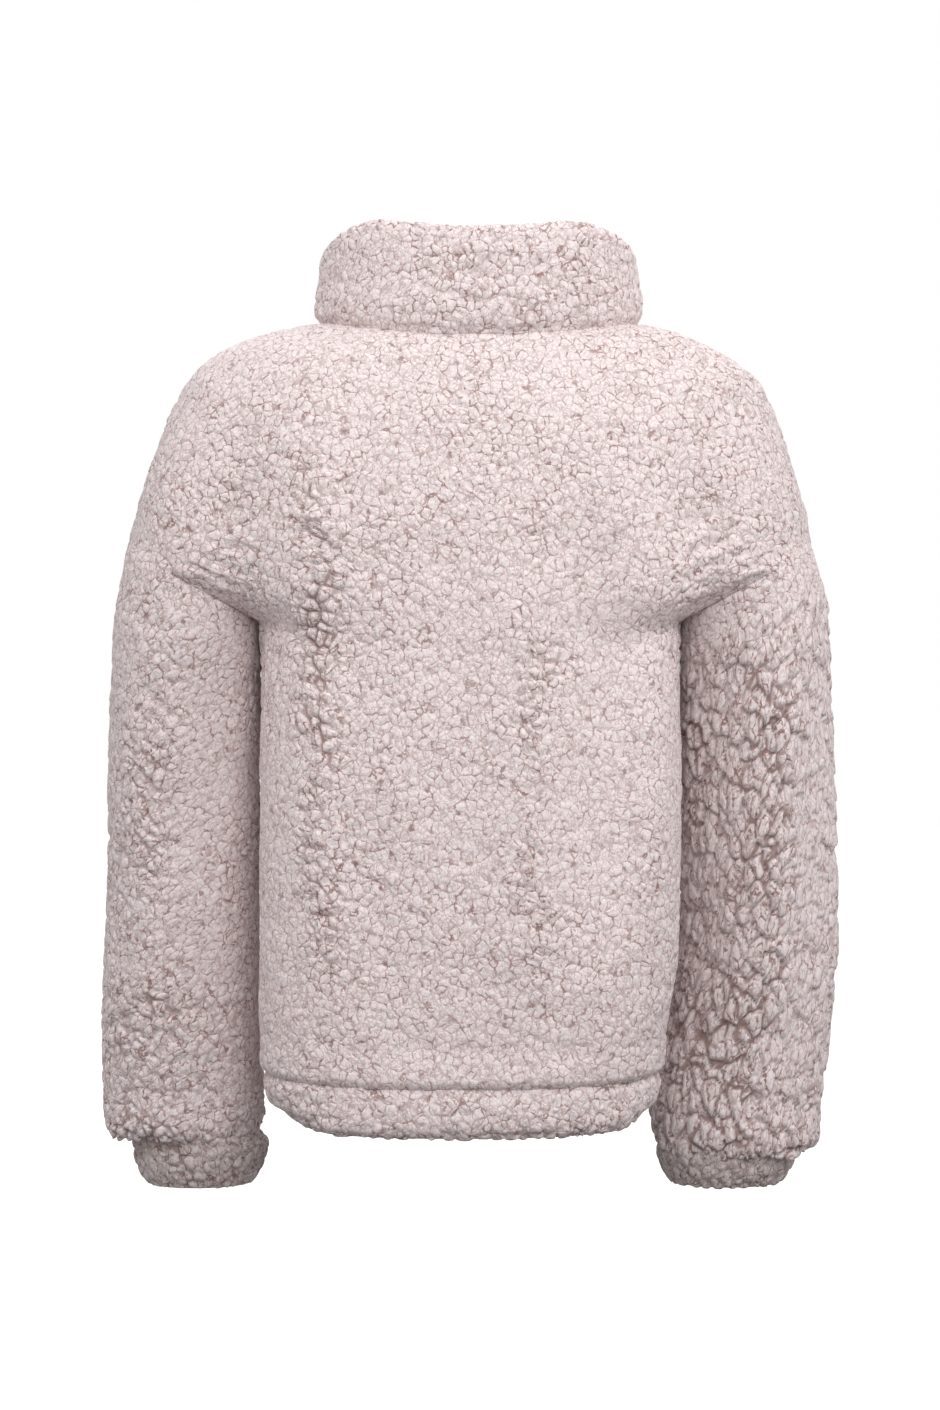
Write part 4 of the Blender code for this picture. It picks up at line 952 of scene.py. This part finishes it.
def sleeve_rows(side, ring, ends):
    """Rows of a sleeve from the armhole to the cuff: tilted ellipses, easing off the armhole's ring."""
    table = np.array(SLEEVE_LEVELS[side])
    drop = np.concatenate([[0.0], np.cumsum(np.abs(np.diff(table[:, 0])))])
    sections = cubic(table, drop, np.linspace(0, drop[-1], SLEEVE_ROWS))
    shares = np.ones(SLEEVE_ROWS)
    for share, fall in ends:
        end = table[-1].copy()
        end[0] += fall
        sections = np.concatenate([sections, [end]])
        shares = np.append(shares, share)
    angle = np.linspace(0, 2 * np.pi, len(ring), endpoint=False)
    z, middle_x, middle_y, half_width, half_depth, tilt = (column[:, None] for column in sections.T)
    reach = shares[:, None] * half_width * np.cos(angle)
    depth = middle_y + shares[:, None] * half_depth * np.sin(angle)
    grid = np.stack([side * (middle_x + reach), depth, z + tilt * reach], axis=2)
    radial = unit(np.stack([side * np.cos(angle), np.sin(angle), 0 * angle], axis=1))
    lift = fold_lift(SLEEVE_FOLDS[side], np.degrees(angle)[None] + 0 * z, grid[..., 2])
    lift[SLEEVE_ROWS:] = lift[SLEEVE_ROWS - 1]
    grid += lift[..., None] * radial
    held = 1 - smooth_step((grid[0, 0, 2] - z) / SLEEVE_EASE)
    return grid + (ring - grid[0]) * held[..., None]


# Where each sleeve's pile breaks open, by angle round the arm.
# Columns: top_angle, top_z, bottom_angle, bottom_z, half_angle, amount
SLEEVE_BREAKS = {
    1: (
        (70, -0.190, 85, -0.430, 16, 0.25),
        (290, -0.220, 280, -0.440, 18, 0.3),
        (110, -0.200, 95, -0.400, 20, -0.3),
        (100, -0.410, 100, -0.500, 70, 0.30),
    ),
    -1: (
        (82, -0.190, 108, -0.480, 26, 0.62),
        (150, -0.190, 150, -0.480, 24, 0.45),
        (38, -0.200, 55, -0.440, 16, -0.35),
        (285, -0.220, 270, -0.440, 18, 0.3),
        (100, -0.400, 100, -0.510, 70, 0.34),
    ),
}
LOCK_LENGTH = {1: 0.0105, -1: 0.0190}
CLUMP_WIDTH = {1: 0.0080, -1: 0.0082}
SLEEVE_OPEN = {1: 0.14, -1: 0.20}


SLEEVE_RIDGE_WANDER, SLEEVE_INNER_GROOVE = 25, (0.0016, 0.006)
TUFT_REACH, TUFT_SHARE, TUFT_HEIGHT, TUFT_SIZE, TUFT_BIAS = 0.035, 0.5, 0.0030, 0.010, 0.3
# The pile runs over from the body's to the sleeve's own: from where, and over how far
OWN_FROM, OWN_OVER = 0.003, 0.030


def from_ends(points):
    """Distance along each row of a grid from the nearer of its ends."""
    return np.minimum(along(points, 1), along(points[:, ::-1], 1)[:, ::-1])


def sleeve_pile(side, seed):
    """The pile of a sleeve: locks on its ridges, tufts at its end, grooves at armhole and seam."""

    def finish(base):
        gone = along(base, 0)
        out = base - base.mean(axis=1, keepdims=True)
        angle = np.degrees(np.arctan2(out[..., 1], side * out[..., 0])) % 360
        angle += (drift(base, RIDGE_WANDER_SIZE, seed + 20)[..., 0] - 0.5) * SLEEVE_RIDGE_WANDER
        broken = fold_lift(SLEEVE_BREAKS[side], angle, base[..., 2])
        tufted = smooth_step(1 - (gone[-1:] - gone) / TUFT_REACH) * TUFT_SHARE
        bold = np.maximum(broken, 0) + tufted + SLEEVE_OPEN[side]
        lift, deep = pile(base, CLUMP_WIDTH[side], LOCK_LENGTH[side], seed, np.maximum(-broken, 0), bold)
        body_lift, body_deep = pile(base, BODY_CLUMP, BODY_LOCK, BODY_SEED, 0.0, 0.0)
        own = smooth_step((gone - OWN_FROM) / OWN_OVER)
        lift = body_lift + (lift - body_lift) * own
        deep = body_deep + (deep - body_deep) * own[..., None]
        lift -= uneven(base, seed) * groove(gone, *SIDE_GROOVE)
        from_inner_seam = np.roll(from_ends(base), base.shape[1] // 2, axis=1)
        lift -= groove(from_inner_seam, *SLEEVE_INNER_GROOVE)
        lift += TUFT_HEIGHT * tufted * (drift(base, TUFT_SIZE, seed + 22)[..., 0] - TUFT_BIAS)
        return lift, deep

    return finish


# The body's fleece goes on over the armhole for 8 to 28 mm, in drifts 8 mm across
SHARED_FROM, SHARED_DRIFT, SHARED_DRIFT_SIZE, SHARED_SEED = 0.008, 0.020, 0.008, 63


def wear_body_fleece(piece, ring):
    """Faces of the pile near the armhole, out to a soft uneven line, wear the third material."""
    polygons = piece.data.polygons
    slots, middles = np.empty(len(polygons), np.int32), np.empty(len(polygons) * 3)
    polygons.foreach_get("material_index", slots)
    polygons.foreach_get("center", middles)
    middles = middles.reshape(-1, 3)
    edge = SHARED_FROM + SHARED_DRIFT * drift(middles, SHARED_DRIFT_SIZE, SHARED_SEED)[:, 0]
    fine_ring = through(ring, np.arange(0, len(ring), 0.25), True)
    near_ring = from_line(middles, fine_ring, 2 * (SHARED_FROM + SHARED_DRIFT)) < edge
    slots[(slots == 0) & near_ring] = 2
    polygons.foreach_set("material_index", slots)


SLEEVE_SEED, WAVE_SEED = 51, 57
CELL_WIDTH, CELL_LENGTH, CELL_SLANT = 0.0052, {1: 0.0095, -1: 0.0130}, {1: 0.95, -1: 0.15}
sleeve_ends, ring_full = {}, np.linspace(0, 2 * np.pi, 2 * RING_ROWS, endpoint=False)
for side, name in ((1, "sleeve_left"), (-1, "sleeve_right")):
    front_ring = halves[side, "front"][ring_rows, -1][-2:0:-1]
    ring = np.concatenate([halves[side, "back"][ring_rows, -1], front_ring])
    grid = sleeve_rows(side, ring, SLEEVE_END)
    waves = drift(grid[-1], END_WAVE_SIZE, WAVE_SEED + side)[:, 0] - 0.5
    grid[-3:, :, 2] += np.outer(END_WAVE_SHARES, END_WAVE_HEIGHT * waves)
    out = away_from(outward_of(grid, True), grid, grid.mean(axis=1, keepdims=True))
    out[0] = ring_out(ring_full, side)
    out[-1] = unit(out[-2] * [1, 1, 0] - [0, 0, SLEEVE_END_DOWN])
    sleeve_ends[side] = (sleeve_rows(side, ring, CUFF_SEAM)[-1], out[-1])
    wall = wall_of(grid, [grid[0], grid[-1]])
    finish = sleeve_pile(side, SLEEVE_SEED + side)
    piece, flat, area = panel(name + "_tube", grid, out, wall, SLEEVE_SPACING, True, (), finish)
    fleece = fleece_look(name + "_fleece", TIPS, CRACK_SHADE, CELL_WIDTH, CELL_LENGTH[side], CELL_SLANT[side])
    dress(piece, name, "hung", flat, area, fleece, backing_knit, body_fleece)
    wear_body_fleece(piece, ring)

# Cuffs: turned tubes of the same fleece with pile on both faces, sewn inside the sleeve's end.
CUFF_HALF_WIDTH = {1: 0.0425, -1: 0.0440}
CUFF_HALF_DEPTH = {1: 0.0430, -1: 0.0440}
CUFF_LENGTH = {1: 0.0375, -1: 0.0290}
CUFF_SHIFT = {1: 0.0098, -1: 0.0062}
CUFF_SHAPE = ((1.000, -0.28), (0.970, -0.55), (0.895, -0.80), (0.780, -1.00))
CUFF_WALL = (0.0036, 0.0050, 0.0050, 0.0044, 0.0030)
CUFF_SEED, CUFF_CLUMP, CUFF_LOCK, CUFF_OPEN, CUFF_INSIDE_CROP = 71, 0.0085, 0.0092, 0.35, 0.6
CUFF_GROOVE = (0.0012, 0.006)
# The cuffs' fleece is the body's fleece painted darker: painted shade under the sleeves' ends, with
# painted shade in its cracks as well
CUFF_SHADED_TIPS, CUFF_CRACK_SHADE = (0.68, 0.605, 0.595), (0.26, 0.165, 0.145)
shaded_cuff_fleece = fleece_look("shaded_cuff_fleece", CUFF_SHADED_TIPS, CUFF_CRACK_SHADE, 0.0058, 0.0080, 0.1)


def rolled(name, grid, out, wall, spacing, closed, finish):
    """A folded piece, piled all over: its outer rows, then back up inside, as one closed loop.

    The inner rows are the outer ones moved in by the wall. Where the piece has ends, each is
    closed by a fan of triangles to the end's middle point. The finish gets every point's distance
    from the seam, from the ends and from the fold, and whether it lies inside.
    """
    loop = np.concatenate([grid, (grid - out * wall[..., None])[::-1]])
    loop_out = np.concatenate([out, -out[::-1]])
    row_at, column_at = marks(loop, spacing, 0, True), marks(loop, spacing, 1, closed)
    net = (row_at, column_at, (True, closed), (0, len(loop) - 1), 1.0)
    base, face_out = finer(loop, *net), unit(finer(loop_out, *net))
    rows, columns = base.shape[:2]
    gone = along(base, 0)
    near = {
        "seam": np.minimum(gone, gone[-1:] - gone),
        "end": from_ends(base),
        "fold": np.abs(gone - gone[np.searchsorted(row_at, len(grid) - 1)]),
        "inside": (row_at > len(grid) - 0.5)[:, None] + np.zeros(columns),
    }
    lift, deep = finish(base, near)
    face = base + face_out * lift[..., None]
    faces, points = [triangles(rows, columns, True, closed)], face.reshape(-1, 3)
    if not closed:
        number = np.arange(rows * columns).reshape(rows, columns)
        for column, turned in ((0, 1), (-1, -1)):
            edge = number[:, column]
            end = np.stack([edge, np.full(rows, len(points)), np.roll(edge, -1)], axis=1)
            faces.append(end[:, ::turned])
            points = np.concatenate([points, face[:, column].mean(axis=0, keepdims=True)])
    deep = np.concatenate([deep.reshape(-1, 2), np.zeros((len(points) - rows * columns, 2))])
    piece = closed_mesh(name, points, np.concatenate(faces), deep)
    flat = float(along(base, 1)[:, -1].max()), float(gone[-1].mean()) / 2
    return piece, flat, area_of(base) / 2


def cuff_rows(side, seam):
    """Rows of a cuff below its seam: ellipses, each a share of the half width and of the length."""
    middle = seam.mean(axis=0)
    angle = np.linspace(0, 2 * np.pi, len(seam), endpoint=False)
    rows = [seam]
    for share, drop in CUFF_SHAPE:
        x = middle[0] + side * (share * CUFF_HALF_WIDTH[side] * np.cos(angle) - CUFF_SHIFT[side])
        y = middle[1] + share * CUFF_HALF_DEPTH[side] * np.sin(angle)
        rows.append(np.stack([x, y, middle[2] + drop * CUFF_LENGTH[side] + 0 * angle], axis=1))
    return np.array(rows)


def cuff_pile(seed):
    """The pile of a cuff: even round clumps, drawn in at the seam and shorter inside."""

    def finish(base, near):
        lift, deep = pile(base, CUFF_CLUMP, CUFF_LOCK, seed, 0.0, CUFF_OPEN)
        return lift * (1 - CUFF_INSIDE_CROP * near["inside"]) - groove(near["seam"], *CUFF_GROOVE), deep

    return finish


for side, name in ((1, "cuff_left"), (-1, "cuff_right")):
    seam, seam_side = sleeve_ends[side]
    grid = cuff_rows(side, seam)
    out = away_from(outward_of(grid, True), grid, grid.mean(axis=1, keepdims=True))
    out[0] = seam_side
    wall = np.tile(np.array(CUFF_WALL)[:, None], (1, grid.shape[1]))
    finish = cuff_pile(CUFF_SEED + side)
    piece, flat, area = rolled(name + "_band", grid, out, wall, ROLL_SPACING, True, finish)
    dress(piece, name, "folded", flat, area, shaded_cuff_fleece)

# Collar: a stand collar of doubled fleece, sewn round the neck and folded over at its top into a
# thick soft roll, ending at the zip on both sides.
COLLAR_RISE = {"back": 0.0660, "side": 0.0480, "front": 0.0600}
COLLAR_RISE_SPAN = {"back": 0.45, "front": 0.77}
COLLAR_FRONT_LEAN, COLLAR_LEAN_FROM, COLLAR_LEAN_SPAN = 0.0045, 0.31, 0.63
# Columns: share of the height, lean outwards, wall
COLLAR_SHAPE = (
    (0.12, 0.0026, 0.0105),
    (0.30, 0.0026, 0.0130),
    (0.52, 0.0006, 0.0135),
    (0.74, -0.0004, 0.0130),
    (0.91, -0.0026, 0.0105),
    (1.00, -0.0076, 0.0035),
)


def collar_rows():
    """Rows of the collar over the neck seam: shares of a height that swells to the back and front."""
    turn = np.arctan2(neck[:, 1], np.abs(neck[:, 0])) / (np.pi / 2)
    outside = unit(neck * [1, 1, 0])
    rise = np.where(turn > 0, COLLAR_RISE["back"], COLLAR_RISE["front"]) - COLLAR_RISE["side"]
    span = np.where(turn > 0, COLLAR_RISE_SPAN["back"], COLLAR_RISE_SPAN["front"])
    rise = COLLAR_RISE["side"] + rise * smooth_step(np.abs(turn) / span)
    front_share = smooth_step((-turn - COLLAR_LEAN_FROM) / COLLAR_LEAN_SPAN)[:, None]
    rows = [neck]
    for share, lean, _ in COLLAR_SHAPE:
        lean = lean * (1 - front_share) + COLLAR_FRONT_LEAN * share * front_share
        rows.append(neck + outside * lean + np.outer(rise * share, [0, 0, 1]))
    return np.array(rows)


def zip_ends(grid):
    """Both ends of a band set straight up the zip, with the column beside each kept level."""
    grid[:, 0, 0], grid[:, -1, 0] = ZIP_GAP_HALF, -ZIP_GAP_HALF
    grid[1:, 1, 0], grid[1:, -2, 0] = neck[1, 0], neck[-2, 0]
    return grid


FOLD_TUFT_REACH, END_CROP_REACH, CROP_HEIGHT, BAND_GROOVE = 0.016, 0.010, 0.0004, (0.0010, 0.005)


def band_pile(seed, clump, bold, fold_tufts):
    """The pile of a collar or hem: clumps all round, tufted at the fold, close-cropped at the zip."""

    def finish(base, near):
        tufts = fold_tufts * (1 - smooth_step(near["fold"] / FOLD_TUFT_REACH))
        lift, deep = pile(base, clump, 1.2 * clump, seed, 0.0, bold + tufts)
        grown = smooth_step(near["end"] / END_CROP_REACH)
        lift = np.minimum(lift, CROP_HEIGHT) + np.maximum(lift - CROP_HEIGHT, 0) * grown
        return lift - uneven(base, seed) * groove(near["seam"], *BAND_GROOVE), deep

    return finish


def zip_band(name, node_name, grid, seam_side, walls, spacing, finish):
    """A doubled band from zip edge to zip edge, square to the zip and thin beside it, dressed."""
    out = away_from(outward_of(grid), grid, grid * [0, 0, 1])
    out[:, :2], out[:, -2:] = unit(out[:, :2] * [0, 1, 1]), unit(out[:, -2:] * [0, 1, 1])
    out[0] = seam_side
    wall = np.tile(np.array([SEAM_WALL, *walls])[:, None], (1, grid.shape[1]))
    wall[:, :2], wall[:, -2:] = EDGE_WALL, EDGE_WALL
    wall[:, [2, -3]] = np.minimum(wall[:, [2, -3]], PILE_WALL)
    piece, flat, area = rolled(name, grid, out, wall, spacing, False, finish)
    dress(piece, node_name, "folded", flat, area, body_fleece)


collar_walls = [row[2] for row in COLLAR_SHAPE]
# The pile's seed, clump, openness and tufts at the fold
COLLAR_PILE, HEM_PILE = (81, 0.0098, 0.26, 0.2), (91, 0.0086, 0.14, 0.35)
collar_finish = band_pile(*COLLAR_PILE)
collar_grid = zip_ends(collar_rows())
zip_band("collar_roll", "collar", collar_grid, neck_out, collar_walls, COLLAR_SPACING, collar_finish)

# Hem band: the foot of the body turned up inside and stitched down, of the same fleece, which
# leaves a groove above a puffy band with upright tufts. Its lower corners at the sides are round.
# Columns: out from the seam, height below it, wall
HEM_SHAPE = (
    (0.0008, -0.0070, 0.0074),
    (0.0006, -0.0170, 0.0074),
    (-0.0014, -0.0250, 0.0064),
    (-0.0070, -0.0300, 0.0030),
)
HEM_CORNER_X, HEM_CORNER_SPAN, HEM_CORNER_RISE = 0.085, 0.035, 0.004
HEM_CORNER_IN = (0.0, 0.0, 0.0025, 0.0060, 0.0090)
outside = unit(hem * [1, 1, 0])
hem_rows = [hem] + [hem + outside * out_by + [0, 0, drop] for out_by, drop, _ in HEM_SHAPE]
grid = zip_ends(np.array(hem_rows))
corner = smooth_step((np.abs(grid[..., 0]) - HEM_CORNER_X) / HEM_CORNER_SPAN)[..., None]
grid -= outside * corner * np.array(HEM_CORNER_IN)[:, None, None]
grid[3:, :, 2] += corner[3:, :, 0] * HEM_CORNER_RISE
hem_walls = [row[2] for row in HEM_SHAPE]
zip_band("hem_roll", "hem_band", grid, hem_out, hem_walls, ROLL_SPACING, band_pile(*HEM_PILE))

# Zip tapes: two narrow woven polyester tapes in a herringbone, sewn behind the front edges. Their
# own solids stay and only get their finish.
WEAVE = {"wave_type": "BANDS", "bands_direction": "DIAGONAL", "Scale": 520.0, "Distortion": 0.6}
TAPE_DARK, TAPE_LIGHT = (0.40, 0.30, 0.29), (0.58, 0.46, 0.45)


def grained_look(name, dark, light, roughness, metallic, scale, distance):
    """Plastic or metal: fine noise mixes two close colours and roughens the surface a little."""
    grain = {"Scale": scale, "Detail": 4.0}
    shading = {"Roughness": roughness, "Metallic": metallic}
    return patterned_look(name, "ShaderNodeTexNoise", dark, light, 0.3, distance, grain, **shading)


def repaint(node_name, material):
    """Gives a CAD node's object one new material in every slot."""
    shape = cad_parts[node_name]
    shape.data.materials.clear()
    shape.data.materials.append(material)


woven_tape = patterned_look(
    "woven_tape", "ShaderNodeTexWave", TAPE_DARK, TAPE_LIGHT, 0.5, 0.0002, WEAVE, Roughness=0.85
)
repaint("zip_tape_left", woven_tape)
repaint("zip_tape_right", woven_tape)

# Teeth: two rows of moulded plastic teeth on the tapes' edges, locked into each other from the
# slider to the box. They follow the chain's own solid.
TOOTH_PITCH, TOOTH_THICK, TOOTH_SQUARE, RING_POINTS, CHAIN_END = 0.0029, 0.0024, 0.7, 8, 0.0015
# How near in height the chain's points are that share one mean depth
CHAIN_SLICE = 0.0012
# A tooth from the tape to its head. Columns: way across, half height, share of the thickness
TOOTH_SHAPE = (
    (0.0028, 0.00060, 0.75),
    (0.0024, 0.00105, 1.00),
    (0.0008, 0.00070, 1.00),
    (0.0002, 0.00062, 0.95),
    (-0.0006, 0.00100, 0.90),
    (-0.0010, 0.00055, 0.60),
)
TOOTH_DARK, TOOTH_LIGHT = (0.46, 0.35, 0.34), (0.56, 0.44, 0.43)
tooth_plastic = grained_look("tooth_plastic", TOOTH_DARK, TOOTH_LIGHT, 0.42, 0.0, 700.0, 0.0001)


def tooth_line():
    """The chain's own middle line, from its solid's points: their mean depth at each height."""
    chain_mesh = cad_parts["zip_chain"].data
    points = np.empty(len(chain_mesh.vertices) * 3)
    chain_mesh.vertices.foreach_get("co", points)
    points = points.reshape(-1, 3)
    heights = np.unique(np.round(points[:, 2], 4))
    beside = np.abs(points[:, 2] - heights[:, None]) < CHAIN_SLICE
    return heights, (beside * points[:, 1]).sum(axis=1) / beside.sum(axis=1)


def teeth(side, heights, depths):
    """One row of teeth: each is a bar across the tape whose head swells past the middle.

    Its outline across is a ring with cosine and sine raised to the power 0.7, and the ring's
    size follows the way from the tape to the head.
    """
    foot = heights[0] + CHAIN_END + (0.5 * TOOTH_PITCH if side > 0 else 0)
    places = np.arange(foot, heights[-1] - CHAIN_END, TOOTH_PITCH)
    across, tall, thick = np.array(TOOTH_SHAPE).T[:, :, None]
    turn = np.linspace(0, 2 * np.pi, RING_POINTS, endpoint=False) + np.pi / RING_POINTS
    ring_y = np.sign(np.cos(turn)) * np.abs(np.cos(turn)) ** TOOTH_SQUARE
    ring_z = np.sign(np.sin(turn)) * np.abs(np.sin(turn)) ** TOOTH_SQUARE
    one = np.stack([across * side + 0 * turn, thick * TOOTH_THICK / 2 * ring_y, tall * ring_z], axis=2)
    centre = np.stack([0 * places, np.interp(places, heights, depths), places], axis=1)
    points = (one[None] + centre[:, None, None]).reshape(-1, 3)
    last = (len(across) - 1) * RING_POINTS
    middle = range(1, RING_POINTS - 1)
    caps = [[0, k + 1, k] for k in middle] + [[last, last + k, last + k + 1] for k in middle]
    shell = np.concatenate([triangles(len(across), RING_POINTS, False, True), np.array(caps)])
    starts = np.arange(len(places)) * len(across) * RING_POINTS
    return points, (shell[None] + starts[:, None, None]).reshape(-1, 3)


heights, depths = tooth_line()
for side, name in ((1, "teeth_left"), (-1, "teeth_right")):
    points, faces = teeth(side, heights, depths)
    piece = closed_mesh(name, points, faces, np.zeros((len(points), 2)))
    piece.data.materials.append(tooth_plastic)
    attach(piece, "jacket")
    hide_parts("zip_chain")

# Box, slider and pull tab: a moulded stop at the foot and a cast, polished metal slider with a
# tab that hangs on its bridge; their own solids stay.
PLASTIC_DARK, PLASTIC_LIGHT = (0.44, 0.33, 0.32), (0.54, 0.42, 0.41)
METAL_DARK, METAL_LIGHT = (0.50, 0.47, 0.45), (0.66, 0.63, 0.60)
repaint("zip_box", grained_look("box_plastic", PLASTIC_DARK, PLASTIC_LIGHT, 0.45, 0.0, 600.0, 0.0001))
slider_metal = grained_look("slider_metal", METAL_DARK, METAL_LIGHT, 0.28, 1.0, 1400.0, 0.00004)
repaint("zip_slider", slider_metal)
repaint("zip_pull_tab", slider_metal)
